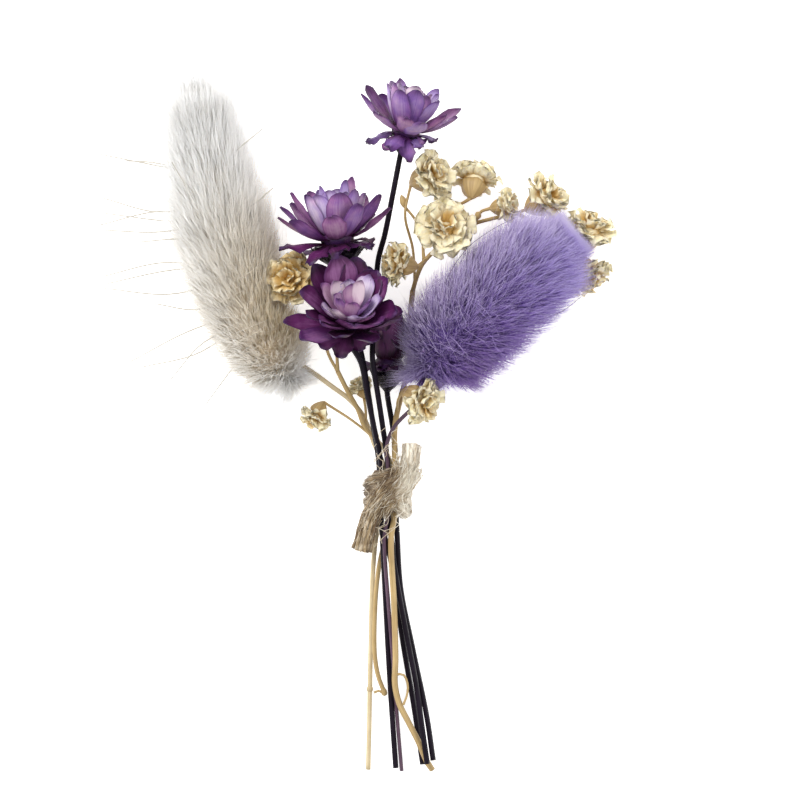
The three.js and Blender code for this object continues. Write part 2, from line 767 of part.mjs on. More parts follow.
function leftSpray() {
  const cutEnd = LEFT_SPRAY_ROUTE[0];
  const fork = LEFT_SPRAY_ROUTE[LEFT_SPRAY_ROUTE.length - 1];
  const knob = [
    [-0.6, 0],
    [-0.4, 0.55],
    [0.4, 0.55],
    [0.7, 0.2],
    [0.7, 0],
  ];
  const pieces = [
    tube(LEFT_SPRAY_ROUTE, BRANCH_RADIUS),
    twig([fork, at(-3.4, 13, 5.6), at(-5.0, 18, 6.8), at(-8.0, 23.6, 8.4), footOf("floret_left")]),
    twig([fork, at(-4.6, 12.4, 5.6), at(-5.4, 14.6, 5.8)]),
    bud(at(-5.4, 14.4, 5.8), at(-0.3, 0.9, 0.2), 1.2),
    fineTwig([at(2.4, -1.3, 4.4), at(-1.0, 1.3, 5.5), footOf("floret_nodding")]),
    fineTwig([at(1.8, -0.4, 4.6), at(1.9, 2.4, 3.4), footOf("floret_behind_stems")]),
    turned(knob, cutEnd, at(0.3, -0.95, 0), 8),
    tendril([at(5.0, -48.5, 1.4), at(4.2, -48.2, 1.3), at(3.4, -48.5, 1.2)]),
  ];
  const bells = FLORETS.filter(({ centre }) => centre.x < TIE_X).map(calyx);
  addNode("left_spray_stems", join([...pieces, ...bells]), material("tan_stem", TAN, 0.6));
}

// Jute tie

function strand(points, wide, thick) {
  const path = new THREE.CatmullRomCurve3(points, false, "centripetal");
  const outline = new THREE.Shape().absellipse(0, 0, wide, thick, 0, 2 * Math.PI);
  const steps = Math.ceil(path.getLength() / STRAND_STEP);
  const geometry = new THREE.ExtrudeGeometry(outline, {
    steps,
    bevelEnabled: false,
    extrudePath: path,
    curveSegments: STEM_SIDES / 2,
  });
  return solidOf(geometry);
}

// One turn round the stems, in two halves that overlap, tilted so that it stands higher at the right.
const HALF_TURN_POINTS = 6;
function wrap(middleY, rise) {
  const halfTurn = (start) => {
    const points = [];
    for (let i = 0; i < HALF_TURN_POINTS; i++) {
      const turn = start + (200 * DEG * i) / (HALF_TURN_POINTS - 1);
      const y = middleY + rise * Math.cos(turn - 0.5);
      const x = TIE_X + TURN_RADIUS * Math.cos(turn);
      points.push(at(x, y, TIE_Z + TURN_RADIUS * Math.sin(turn)));
    }
    return strand(points, TURN_THICKNESS, TURN_THICKNESS);
  };
  return [halfTurn(-13 * DEG), halfTurn(172 * DEG)];
}

function tie() {
  const middle = at(TIE_X, TIE_MIDDLE_Y, TIE_Z);
  const along = at(0, 1, 0);
  const body = [
    [-4.1, 0],
    [-4.1, 2.9],
    [-3.0, 3.5],
    [2.6, 3.4],
    [3.7, 2.8],
    [3.7, 0],
  ];
  const bore = [
    [-8, 0],
    [-8, TIE_HOLE_RADIUS],
    [8, TIE_HOLE_RADIUS],
    [8, 0],
  ];
  const frontPath = [
    at(10.2, -3.4, 6.0),
    at(9.9, -6.6, 6.9),
    at(8.6, -9.6, 8.4),
    at(6.0, -12.2, 8.9),
    at(3.6, -15.0, 8.0),
    at(2.2, -18.6, 6.6),
    at(1.3, -22.4, 5.6),
  ];
  const lobePath = [at(5.4, -12.6, 8.2), at(7.6, -14.0, 7.6), at(8.9, -15.4, 5.8), at(8.4, -14.6, 3.4)];
  const pieces = [
    turned(body, middle, along, 8),
    strand(frontPath, FRONT_STRAND_WIDTH, FRONT_STRAND_THICKNESS),
    strand(lobePath, LOBE_WIDTH, LOBE_THICKNESS),
    ...wrap(-13.4, 1.2),
    ...wrap(-10.4, 1.5),
  ];
  const whole = join(pieces).subtract(turned(bore, middle, along, 10));
  addNode("twine_tie", join([whole]), material("jute", JUTE, 0.95));
}

// The flowers

// Rows of bracts: lengths and widths are for a daisy of size 1.
const ROWS = {
  droop: {
    ...{ count: 5, turn: 12, seed: 3, steps: 2 },
    ...{ lean: 97, curl: 26, unrest: 9, rise: 0.6 },
    ...{ length: 5.8, width: 3.6, cup: -0.2 },
  },
  wide: {
    ...{ count: 9, turn: 0, seed: 17, steps: 3 },
    ...{ lean: 78, curl: -34, unrest: 8, rise: 1.1 },
    ...{ length: 10.6, width: 4.4, cup: 0.35 },
  },
  upright: {
    ...{ count: 8, turn: 18, seed: 29, steps: 2 },
    ...{ lean: 56, curl: -30, unrest: 6, rise: 1.6 },
    ...{ length: 10.2, width: 4.4, cup: 0.35 },
  },
  inner: {
    ...{ count: 6, turn: 8, seed: 43, steps: 3 },
    ...{ lean: 27, curl: -26, unrest: 5, rise: 0 },
    ...{ length: 8.8, width: 3.9, cup: 0.35 },
  },
};

const DAISIES = [
  {
    centre: at(9.0, 52.6, 11.2),
    axis: at(0.2, 0.93, 0.3),
    size: 0.86,
    bowl: 0,
    route: DAISY_1_ROUTE,
    outer: [ROWS.droop, ROWS.wide, ROWS.upright],
    inner: [ROWS.inner],
  },
  {
    centre: at(-3.1, 32.9, 13),
    axis: at(-0.12, 0.99, 0.1),
    size: 1.0,
    bowl: 1,
    route: DAISY_2_ROUTE,
    outer: [{ ...ROWS.droop, seed: 71 }, { ...ROWS.wide, seed: 83 }, { ...ROWS.upright, seed: 97 }],
    inner: [{ ...ROWS.inner, seed: 101 }],
  },
  {
    centre: at(-0.8, 18.4, 16.5),
    axis: at(0.03, 0.74, 0.67),
    size: 0.95,
    bowl: 0.6,
    route: DAISY_3_ROUTE,
    outer: [{ ...ROWS.droop, seed: 113 }, { ...ROWS.wide, seed: 129 }, { ...ROWS.upright, seed: 139 }],
    inner: [{ ...ROWS.inner, seed: 151, lean: 26, curl: -34 }],
  },
  {
    centre: at(6.0, 10.6, 5.4),
    axis: at(0.05, 0.99, 0.04),
    size: 0.9,
    bowl: 0.5,
    route: DAISY_4_ROUTE,
    outer: [{ ...ROWS.upright, seed: 163, lean: 38, curl: -46, length: 11, rise: 1.0 }],
    inner: [{ ...ROWS.inner, seed: 173, lean: 20, curl: -22, count: 4 }],
  },
];

floretFrames();
const heads = FLORETS.map(({ centre, radius }) => ball(centre, radius));
const stemRooms = [
  ...along(DAISY_1_ROUTE, BLACK_STEM_RADIUS),
  ...along(DAISY_2_ROUTE.slice(7), BLACK_STEM_RADIUS),
  ...along(RIGHT_SPRAY_ROUTE.slice(-7), TAN_STEM_RADIUS),
];
const calyxRoom = ball(at(-2.6, 29.3, 12.8), 3.4);
const daisyRooms = [heads, [...heads, ...stemRooms], [...heads, ...stemRooms, calyxRoom], stemRooms];
DAISIES.forEach((flower, i) => daisy(i + 1, flower, daisyRooms[i]));

// Room that the fur keeps round the flowers next to it.
const whiteNeighbours = [ball(byName("floret_left").centre, 4.6), ball(at(-3.1, 33, 14), 11.5)];
const violetNeighbours = [
  ...heads,
  ...along(RIGHT_SPRAY_ROUTE, 0.9),
  ball(at(6, 15, 5.4), 5.6),
  ball(at(-0.5, 21.2, 17.5), 10),
];
bunnyTails(whiteNeighbours, violetNeighbours);
straws();
rightSpray();
leftSpray();
const strawRoom = along(VIOLET_STRAW_ROUTE, VIOLET_STRAW_RADIUS);
FLORETS.forEach((floret, i) => floretBloom(floret, strawRoom, i));
tie();

export default group;
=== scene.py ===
import math

import bpy
import numpy as np
from bpy.props import FloatProperty, FloatVectorProperty, IntProperty, PointerProperty
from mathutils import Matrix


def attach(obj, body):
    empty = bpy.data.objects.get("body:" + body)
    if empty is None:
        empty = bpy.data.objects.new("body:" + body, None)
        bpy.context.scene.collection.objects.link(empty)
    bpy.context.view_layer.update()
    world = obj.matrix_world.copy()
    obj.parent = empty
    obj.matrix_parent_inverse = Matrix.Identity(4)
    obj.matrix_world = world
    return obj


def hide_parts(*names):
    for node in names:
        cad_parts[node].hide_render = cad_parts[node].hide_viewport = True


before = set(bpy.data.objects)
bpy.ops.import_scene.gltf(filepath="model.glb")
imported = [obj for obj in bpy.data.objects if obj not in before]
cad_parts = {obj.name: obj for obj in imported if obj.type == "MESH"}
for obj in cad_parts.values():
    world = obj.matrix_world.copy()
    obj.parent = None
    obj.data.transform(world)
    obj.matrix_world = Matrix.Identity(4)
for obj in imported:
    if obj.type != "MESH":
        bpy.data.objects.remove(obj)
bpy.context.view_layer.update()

# The looks of a small tied bunch of dried flowers, lying on a pale floor: two bunny tails, four
# everlasting daisies, two sprays of baby's breath and a jute tie. Shapes are worked out in
# millimetres in the part's frame and become metres when a mesh is made.

bl_info = {
    "name": "Dried flower bunch",
    "version": (1, 0, 0),
    "blender": (4, 5, 0),
    "location": "3D View > Sidebar > Flowers",
    "description": "Dresses a tied bunch of dried flowers",
    "category": "Object",
}

MM = 0.001
DEG = math.pi / 180
UP = np.array([0.0, 0.0, 1.0])
ALONG = np.array([0.0, 1.0, 0.0])
LOWEST = 0.1  # height of the lowest hair's middle above the floor
ROUNDED = 0.8  # how far a fur head closes at its ends; 1 would be to a point
GOLDEN_TURN = math.pi * (3 - math.sqrt(5))


# Vectors and curves


def unit(vectors):
    """Each vector divided by its own length."""
    length = np.linalg.norm(vectors, axis=-1, keepdims=True)
    return vectors / np.maximum(length, 1e-12)


def blend(share, low, high):
    """0 below low, 1 above high, and 3t^2 - 2t^3 between them."""
    t = np.clip((share - low) / (high - low), 0, 1)
    return t * t * (3 - 2 * t)


class Path:
    """A centripetal Catmull-Rom curve through points.

    Each stretch is a cubic c0 + c1 w + c2 w^2 + c3 w^3 that meets its neighbours with one slope.
    """

    def __init__(self, points):
        p = np.asarray(points, float)
        p = np.vstack([2 * p[0] - p[1], p, 2 * p[-1] - p[-2]])
        gap = np.sqrt(np.linalg.norm(np.diff(p, axis=0), axis=1))[:, None]
        before, start, end, after = p[:-3], p[1:-2], p[2:-1], p[3:]
        g0, g1, g2 = gap[:-2], gap[1:-1], gap[2:]
        out = ((start - before) / g0 - (end - before) / (g0 + g1) + (end - start) / g1) * g1
        into = ((end - start) / g1 - (after - start) / (g1 + g2) + (after - end) / g2) * g1
        self.cubic = (start, out, 3 * (end - start) - 2 * out - into, 2 * (start - end) + out + into)
        self.stretches = len(start)

    def _place(self, share):
        place = np.clip(share, 0, 0.999999) * self.stretches
        k = place.astype(int)
        return [c[k] for c in self.cubic], (place - k)[..., None]

    def at(self, share):
        """The points at shares of the stretches."""
        (c0, c1, c2, c3), w = self._place(np.asarray(share, float))
        return c0 + w * (c1 + w * (c2 + w * c3))

    def way(self, share):
        """The unit tangents at shares of the stretches."""
        (_, c1, c2, c3), w = self._place(np.asarray(share, float))
        return unit(c1 + w * (2 * c2 + w * 3 * c3))

    def even(self, spacing, least=3):
        """Shares that lie evenly along the curve's length, and that length."""
        fine = np.linspace(0, 1, 60 * self.stretches + 1)
        steps = np.linalg.norm(np.diff(self.at(fine), axis=0), axis=1)
        length = np.concatenate([[0], np.cumsum(steps)])
        count = max(least, int(math.ceil(length[-1] / spacing)) + 1)
        return np.interp(np.linspace(0, length[-1], count), length, fine), length[-1]


def summed(steps, start=0.0):
    """Sums of steps along rows of points, from a start."""
    return start + np.cumsum(np.hstack([np.zeros((len(steps), 1)), steps]), 1)


def frames(way, reference):
    """Two directions across a way: side = way x reference, and front = side x way."""
    side = unit(np.cross(way, reference))
    return side, np.cross(side, way)


# Surfaces: points, triangles, and the marks that the materials read


def around(turn, side, front):
    """Directions at turns: side cos t + front sin t."""
    return np.cos(turn)[..., None] * side + np.sin(turn)[..., None] * front


def bands(rings, sides):
    """Two triangles for each side between neighbouring rings."""
    ring = np.arange(sides)
    low = np.arange(rings - 1)[:, None] * sides
    a, b = low + ring, low + (ring + 1) % sides
    return np.stack([a, b, b + sides, a, b + sides, a + sides], -1).reshape(-1, 3)


def copies(triangles, count, size):
    """The triangles of one shape of size points, for count such shapes."""
    return (triangles[None] + np.arange(count)[:, None, None] * size).reshape(-1, 3)


def skin(grid, grain, mark):
    """Closed skins over grids of rings (count, rings, sides, 3): bands of triangles between
    neighbouring rings, and a fan over the first and the last ring."""
    count, rings, sides = grid.shape[:3]
    fan, last = np.arange(1, sides - 1), (rings - 1) * sides
    zero = np.zeros_like(fan)
    ends = [np.stack([zero, fan + 1, fan], -1), last + np.stack([zero, fan, fan + 1], -1)]
    triangles = copies(np.vstack([bands(rings, sides), *ends]), count, rings * sides)
    marks = [np.broadcast_to(m, grid.shape).reshape(-1, 3) for m in (grain, mark)]
    return facing_out(grid.reshape(-1, 3), triangles), *marks


def spikes(middle, way, reference, radius, tips, grain, tip_grain, mark):
    """Closed three-sided spikes: rings round middles (count, rings, 3), square to each one's way,
    and one tip each."""
    side, front = frames(way, reference)
    ring = around(2 * math.pi * np.arange(3) / 3, side[:, None], front[:, None])
    grid = middle[:, :, None] + ring[:, None] * radius[..., None, None]
    count, rings, sides = grid.shape[:3]
    corner, top, size = np.arange(sides), (rings - 1) * sides, rings * sides + 1
    cone = np.stack([top + corner, top + (corner + 1) % sides, np.full(sides, size - 1)], -1)
    one = np.vstack([bands(rings, sides), cone, [[0, 2, 1]]])
    points = np.concatenate([grid.reshape(count, -1, 3), tips[:, None]], 1).reshape(-1, 3)
    grains = np.broadcast_to(grain, grid.shape).reshape(count, -1, 3)
    grains = np.concatenate([grains, tip_grain[:, None]], 1).reshape(-1, 3)
    marks = np.broadcast_to(mark[:, None], (count, size, 3)).reshape(-1, 3)
    return facing_out(points, copies(one, count, size)), grains, marks


def facing_out(points, triangles):
    """The triangles turned round if they enclose a negative volume."""
    a, b, c = (points[triangles[:, i]] - points.mean(0) for i in range(3))
    volume = np.einsum("ij,ij->i", a, np.cross(b, c)).sum()
    return points, (triangles if volume > 0 else triangles[:, ::-1])


def make_piece(name, surfaces, finish, slot, *nodes):
    """One mesh object of all the surfaces, in metres, riding on the part."""
    points, triangles, grains, marks, base = [], [], [], [], 0
    for (corner, face), grain, mark in surfaces:
        points.append(corner)
        triangles.append(face + base)
        grains.append(grain)
        marks.append(mark)
        base += len(corner)
    points, triangles = np.vstack(points) * MM, np.vstack(triangles)
    mesh = bpy.data.meshes.new(name)
    mesh.vertices.add(len(points))
    mesh.vertices.foreach_set("co", points.astype(np.float32).ravel())
    mesh.loops.add(triangles.size)
    mesh.loops.foreach_set("vertex_index", triangles.astype(np.int32).ravel())
    mesh.polygons.add(len(triangles))
    mesh.polygons.foreach_set("loop_start", np.arange(len(triangles), dtype=np.int32) * 3)
    mesh.polygons.foreach_set("use_smooth", np.ones(len(triangles), bool))
    mesh.update(calc_edges=True)
    for label, values in (("grain", grains), ("mark", marks)):
        attribute = mesh.attributes.new(label, "FLOAT_VECTOR", "POINT")
        attribute.data.foreach_set("vector", np.vstack(values).astype(np.float32).ravel())
    mesh.materials.append(finish)
    piece = bpy.data.objects.new(name, mesh)
    bpy.context.scene.collection.objects.link(piece)
    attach(piece, "root")
    for node in nodes:
        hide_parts(node)
    return piece


def marks_of(*values):
    """Three numbers, or arrays of one shape, as vectors."""
    return np.stack(np.broadcast_arrays(*[np.asarray(v, float) for v in values]), -1)


def tube(points, radius, sides=10, spacing=0.8, reference=UP, depth=None, flutes=0, flute=0.0, twist=0.0,
         tone=0.5):
    """A tube along a smooth path: middle + side w cos t + front d sin t.

    The radius may be a function of the share of length. Flutes are lengthwise ridges, radius times
    1 + flute cos(flutes t + twist length).
    """
    path = Path(points)
    share, length = path.even(spacing)
    along = np.linspace(0, 1, len(share))
    width = radius(along) if callable(radius) else np.full(len(share), radius)
    ratio = 1 if depth is None else depth / width.max()
    middle, way = path.at(share), path.way(share)
    side, front = frames(way, reference)
    turn = 2 * math.pi * np.arange(sides) / sides
    ridge = width[:, None] * (1 + flute * np.cos(flutes * turn + twist * length * along[:, None]))
    across = (np.cos(turn) * ridge)[..., None] * side[:, None]
    lifted = (ratio * np.sin(turn) * ridge)[..., None] * front[:, None]
    grain = marks_of(np.cos(turn), np.sin(turn), (along * length)[:, None])
    return skin((middle[:, None] + across + lifted)[None], grain[None], np.array([tone, 0.5, 0.5]))


def turned(profile, centre, axis, sides=20, rings=12, ribs=0, rib=0.0, tone=0.5, scale=1):
    """A turned shape about an axis: radius r(h) (1 + rib cos(ribs t)) at height h."""
    profile = scale * np.asarray(profile, float)
    place = np.linspace(0, len(profile) - 1, rings)
    height, radius = (np.interp(place, range(len(profile)), profile[:, i]) for i in range(2))
    way = unit(np.asarray(axis, float))
    side, front = frames(way, UP if abs(way[2]) < 0.9 else ALONG)
    turn = 2 * math.pi * np.arange(sides) / sides
    wide = radius[:, None] * (1 + rib * np.cos(ribs * turn))
    grid = centre + height[:, None, None] * way + wide[..., None] * around(turn, side, front)
    grain = marks_of(np.cos(turn), np.sin(turn), height[:, None])
    return skin(grid[None], grain[None], np.array([tone, 0.5, 0.5]))


# Room kept for neighbours: rows of a start, an end and a radius


def ball(centre, radius):
    """One room: a ball."""
    return [(*centre, *centre, radius)]


def along(points, radius):
    """Rooms of one radius along a line of points."""
    return [(*a, *b, radius) for a, b in zip(points[:-1], points[1:])]


def crowded(points, rooms, margin):
    """Whether any point of each row (count, n, 3) lies in a room: its distance to the stretch from
    start to end is under the radius and the margin."""
    if not rooms:
        return np.zeros(len(points), bool)
    rooms = np.asarray(rooms, float)
    start, stretch, radius = rooms[:, :3], rooms[:, 3:6] - rooms[:, :3], rooms[:, 6]
    squared = np.maximum((stretch**2).sum(-1), 1e-9)
    hit = np.zeros(points.shape[:2], bool)
    for a, d, r, dd in zip(start, stretch, radius, squared):
        t = np.clip(((points - a) @ d) / dd, 0, 1)
        near = a + t[..., None] * d
        hit |= np.linalg.norm(points - near, axis=-1) < r + margin
    return hit.any(1)


# Petals

ACROSS = np.array([-1, -0.98, -0.62, -0.22, 0.22, 0.62, 0.98, 1])
LOOP = np.concatenate([ACROSS, ACROSS[-2:0:-1]])
FACE = np.concatenate([np.ones(8), np.zeros(6)])
TURN_JITTER, WIDTH_SPREAD, TONE_SPREAD, PINK_SPREAD = 0.28, 0.15, 0.19, 0.3
SHORTER = (0.8, 0.65)  # a petal in a neighbour's room shrinks by the first, then by the second


class Flower:
    """A flower's centre and frame: its axis, its side = axis x up, and its front = side x axis."""

    def __init__(self, centre, axis, size, **facts):
        self.centre = np.asarray(centre, float)
        self.up = unit(np.asarray(axis, float))
        self.side = unit(np.cross(self.up, UP))
        self.front = np.cross(self.side, self.up)
        self.size = size
        # shade_and_tan darkens a floret's petals: painted shade where the floret lies in shade, partly its own
        # tan.
        self.shade_and_tan = 0
        self.__dict__.update(facts)

    def point(self, height):
        return self.centre + height * self.up


def bract_width(share, width):
    """Half width of a bract: a waisted root, widest past the middle, and a blunt tip:
    (0.28 + 0.72 sin(0.74 pi s)) sqrt(1 - s^7)."""
    swell = 0.28 + 0.72 * np.sin(0.74 * math.pi * share)
    return width / 2 * np.maximum(0.08, swell * np.sqrt(1 - share**7))


def fan_width(share, width):
    """Half width of a floret petal: 0.3 + 0.7 sin(1.9 s), a blunt fan."""
    return width / 2 * (0.3 + 0.7 * np.sin(1.9 * share)) * (1 - 0.25 * share**6)


def petals(flower, row, rooms, thickness, steps=9):
    """A row of curved petals round a flower.

    Each midline leans by lean + curl s from the axis and is summed up from its root. A petal's
    section runs from -1 to 1 across it, lifted by cup q^2 and by ripples that grow to the rim.
    """
    rng = np.random.default_rng(row["seed"])
    count = row["count"]
    draw = lambda: rng.uniform(-1, 1, (count, 1))
    turn = 2 * math.pi * (np.arange(count)[:, None] + TURN_JITTER * draw()) / count
    turn = turn + row["turn"] * DEG
    length = row["length"] * (1 + row["uneven"] * draw())
    width = row["width"] * (1 + WIDTH_SPREAD * draw())
    lean = (row["lean"] + row["tilt"] * np.sin(turn) + row["unrest"] * draw()) * DEG
    curl = (row["curl"] + row["unrest"] * draw()) * DEG
    twist = row["twist"] * draw()
    phase = math.pi * rng.uniform(-1, 1, (count, 4, 1))
    share = 1 - (1 - np.linspace(0, 1, steps)[None]) ** 1.8
    out = around(turn[:, 0], flower.side, flower.front)
    across = around(turn[:, 0], flower.front, -flower.side)
    angle = lean + curl * share
    mean = (angle[:, 1:] + angle[:, :-1]) / 2

    def midline(reach):
        step = reach * np.diff(share)
        far = summed(step * np.sin(mean), row["root_out"])
        high = summed(step * np.cos(mean), row["root_height"])
        return flower.centre + far[..., None] * out[:, None] + high[..., None] * flower.up

    for shorter in SHORTER:
        tight = crowded(midline(length)[:, 2:], rooms, row["width"] * 0.3)
        length = np.where(tight[:, None], length * shorter, length)
    middle = midline(length)
    kept = ~crowded(middle[:, 2:], rooms, row["width"] * 0.2)
    half = row["shape"](share, width)
    rough = np.sin(19 * share + phase[:, 0]), np.sin(37 * share + phase[:, 1])
    half = half * (1 + row["ragged"] * rough[0] + row["ragged"] * rough[1])
    normal = np.sin(angle)[..., None] * flower.up - np.cos(angle)[..., None] * out[:, None]
    side = around(twist * share, across[:, None], normal)
    normal = around(twist * share, normal, -across[:, None])

    q, s = LOOP[None, None], share[..., None]
    lens = thickness / 2 * np.sqrt(np.maximum(0, 1 - q**2)) * (2 * FACE - 1)
    cup = row["cup"] * half[..., None] * q**2 * np.minimum(1, 2 * s)
    ripple = np.sin(row["waves"] * 2 * math.pi * s + phase[:, 2:3] + 1.3 * np.sign(q)) * np.abs(q) ** 1.6
    ripple = row["ripple"] * s * ripple
    folds = np.sin(row["folds"] * q + phase[:, 3:4] + 2 * s) * row["fold"] * np.sqrt(s)
    lift = lens + cup + ripple * width[..., None] / 3 + folds * width[..., None]
    grid = middle[:, :, None] + (half[..., None] * q)[..., None] * side[:, :, None]
    grid = grid + lift[..., None] * normal[:, :, None]
    grid[..., 2] = np.maximum(grid[..., 2], LOWEST / 2)
    tone = np.clip(row["tone"] + TONE_SPREAD * draw(), 0, 1)
    mark = marks_of(tone, np.clip(row["pink"] + PINK_SPREAD * draw(), 0, 1), rng.random((count, 1)))
    grain = marks_of(q, s, FACE[None, None])
    return skin(grid[kept], *(np.broadcast_to(m, grid.shape)[kept] for m in (grain, mark[:, None])))


def rows_of(base, keys, *values):
    """Rows of petals: the base's facts, and each row's own under the keys."""
    return [{**base, **dict(zip(keys.split(), row))} for row in values]


# Routes of the stems, from the cut end up through the tie to the head

TIE_X, TIE_Z, TIE_TOP_Y, TIE_BOTTOM_Y, SLOT_RADIUS = 5.9, 4.8, -7, -16, 1.6


def slot_in_tie(angle, radius=SLOT_RADIUS):
    """Where a stem passes the tie's lower and upper end, at an angle on the ring of stems."""
    x = TIE_X + radius * math.cos(angle * DEG)
    z = TIE_Z + radius * math.sin(angle * DEG)
    return [(x, TIE_BOTTOM_Y, z), (x, TIE_TOP_Y, z)]


DAISY_1_ROUTE = [
    (13, -61.3, 3.4), (12.2, -55.6, 3.6), (10.9, -46.4, 3.9), (9.3, -38, 4.2), (7.2, -26.2, 4.6),
    (6.5, -20, 4.75), *slot_in_tie(0, 0), (5, 0, 7.6), (4.1, 6, 10), (3.2, 12, 11.4),
    (3.4, 18, 9.8), (3.8, 25, 7.8), (4.2, 30, 7.4), (5.4, 34.6, 8), (6.8, 41.6, 9.4),
]
DAISY_2_ROUTE = [
    (12.2, -61.6, 0.55), (11.3, -55.6, 0.75), (10.4, -49.8, 1), (8.8, -40.5, 1.7),
    (7.6, -32.4, 2.3), (6.5, -24.7, 3), (5.3, -20, 3.7), *slot_in_tie(187), (3.3, 0, 6.2),
    (2.4, 6, 7.6), (1.4, 12, 8.6), (0, 18, 7.8), (-1.2, 23, 7.8), (-2, 26.4, 9.8),
]
DAISY_3_ROUTE = [
    (7.3, -62.2, 1.4), (6.6, -52, 2.1), (6, -42, 3), (5.5, -32, 3.9), (4.9, -20, 4.9),
    *slot_in_tie(139), (3.4, 0, 8.4), (2.2, 6, 10.4), (1.1, 11.5, 12),
]
DAISY_4_ROUTE = [
    (14.1, -60.7, 2.8), (12.9, -52.6, 2.8), (10.4, -40.5, 2.7), (8.2, -29.3, 3.2),
    (7.6, -20, 3.8), *slot_in_tie(340), (6.9, -1, 4.5),
]
VIOLET_STRAW_ROUTE = [
    (8.4, -62.8, 0.8), (7.5, -52, 2), (6.8, -42, 3.6), (6, -32, 4.8), (5.3, -20, 5.95),
    *slot_in_tie(90), (5.6, -4, 7.2), (6.9, -0.4, 8.4), (10, 2.9, 9), (13.4, 5.6, 9.2),
    (17.2, 8.8, 9.3),
]
WHITE_STRAW_ROUTE = [
    (2.3, -62.6, 0.5), (2.5, -54.1, 0.7), (2.6, -47.9, 0.9), (2.8, -38.6, 1.3), (3.2, -26, 2),
    (3.9, -19.5, 2.7), *slot_in_tie(236), (3.5, -3.5, 2.3), (1.3, 2, 3), (-1.3, 5, 4.2),
    (-4, 7, 5.4), (-7.7, 9.7, 6.8), (-12, 12.4, 7.5),
]
LEFT_SPRAY_ROUTE = [
    (5.2, -48.4, 1.4), (4.2, -45.7, 1.9), (3.5, -41.7, 2.2), (3.6, -32, 2.6), (4.2, -26, 2.5),
    (5.3, -20.5, 2.3), *slot_in_tie(286), (5.6, -4.8, 3.7), (3.8, -2.5, 4.1), (1.8, -0.4, 4.6),
    (0.4, 3.1, 5), (-1.3, 6.1, 5.4), (-3.2, 9.9, 5.6),
]
RIGHT_SPRAY_ROUTE = [
    (14, -62.6, 1.3), (13.1, -61.2, 1.6), (11.5, -57.5, 2.2), (9.5, -53.5, 2.9), (8, -50.4, 3.7),
    (7.2, -46.8, 4.4), (7.3, -42, 4.9), (7, -32, 5.6), (6.5, -20, 6.1), *slot_in_tie(38),
    (7.2, 0, 6.2), (8.2, 5, 4), (9.5, 10, 1.8), (9.9, 15, 1.5), (10, 20, 2.6), (10.4, 24.5, 5),
]

BLACK_STEM_RADIUS, TAN_STEM_RADIUS, WHITE_STRAW_RADIUS, VIOLET_STRAW_RADIUS = 0.5, 0.52, 0.42, 0.34
BRANCH_RADIUS, TWIG_RADIUS, FINE_TWIG_RADIUS, TENDRIL_RADIUS = 0.42, 0.3, 0.25, 0.22


# Florets of baby's breath

# The last column, shade_and_tan, darkens a floret's petals: painted shade for florets that lie in shade, partly
# their own khaki tan.
FLORETS = {
    f"floret_{name}": Flower(centre, axis, size, shade_and_tan=shade_and_tan)
    for name, centre, axis, size, shade_and_tan in [
        ("upper_left", (13.5, 44.8, 11), (0.82, 0.28, 0.5), 4.4, 0),
        ("upper_middle", (21.5, 44.4, 7.2), (0.1, 0.55, -0.35), 4.2, 0),
        ("front", (16.2, 35.4, 12), (0.12, 0.25, 0.95), 4.9, 0),
        ("above_daisy", (7.9, 29.0, 12.6), (-0.9, 0.1, 0.3), 3.7, 0.22),
        ("small_right", (26.9, 39.6, 9.6), (0.93, 0.15, 0.3), 2.9, 0),
        ("far_right", (34.4, 41.0, 5.2), (0.75, 0.4, 0.3), 4.4, 0),
        ("behind_tail_upper", (42.3, 35.2, 4.9), (0.3, 0.7, 0.2), 4.3, 0),
        ("behind_tail_lower", (41.9, 27.6, 4.6), (0.5, -0.7, 0.2), 4.1, 0),
        ("left", (-11.2, 26.4, 13.4), (-0.35, 0.1, 0.9), 4.3, 0.62),
        ("nodding", (-7.0, 1.9, 5.6), (-0.45, -0.85, 0.1), 2.9, 0.16),
        ("lower_right", (11.7, 4.8, 12.6), (0.75, -0.35, 0.45), 4.1, 0),
        ("behind_stems", (0.9, 7.0, 2.9), (-0.3, 0.9, 0.2), 2.2, 0),
    ]
}
FLORET_ROWS = rows_of(
    {
        "tilt": 0, "unrest": 18, "uneven": 0.22, "cup": 0.1, "twist": 0.9, "waves": 1.9, "ripple": 0.42,
        "folds": 5.5, "fold": 0.08, "ragged": 0.07, "pink": 0.5, "shape": fan_width,
    },
    "count lean curl length width turn tone",
    (10, 104, -26, 0.7, 0.74, 10, 0.75),
    (10, 82, -12, 0.76, 0.74, 34, 0.7),
    (8, 58, 4, 0.74, 0.7, 5, 0.6),
    (7, 36, 18, 0.7, 0.6, 48, 0.42),
    (5, 12, 30, 0.6, 0.48, 20, 0.25),
)


def foot_of(name):
    """Where a floret's calyx meets its twig."""
    floret = FLORETS[f"floret_{name}"]
    return tuple(floret.point(-0.95 * floret.size))


def sized(row, size, **facts):
    """A row of petals with its length and width times a size, and more facts."""
    return {**row, "length": row["length"] * size, "width": row["width"] * size, **facts}


def bloom(floret, key, thickness):
    """Rows of crumpled fans on a small heart."""
    size = floret.size
    heart = [(-0.3, 0.24), (-0.1, 0.44), (0.1, 0.46), (0.3, 0.3), (0.38, 0.05)]
    surfaces = [turned(heart, floret.centre, floret.up, 14, 9, tone=0.3, scale=size)]
    for k, row in enumerate(FLORET_ROWS):
        root = {"root_out": (0.34 - 0.06 * k) * size, "root_height": (0.02 + 0.05 * k) * size}
        # shade_and_tan lowers the row's tone: painted shade, partly tan.
        facts = sized(row, size, tone=row["tone"] - floret.shade_and_tan, seed=900 + 10 * key + k, **root)
        surfaces.append(petals(floret, facts, [], thickness, steps=7))
    return surfaces


# Stems and twigs


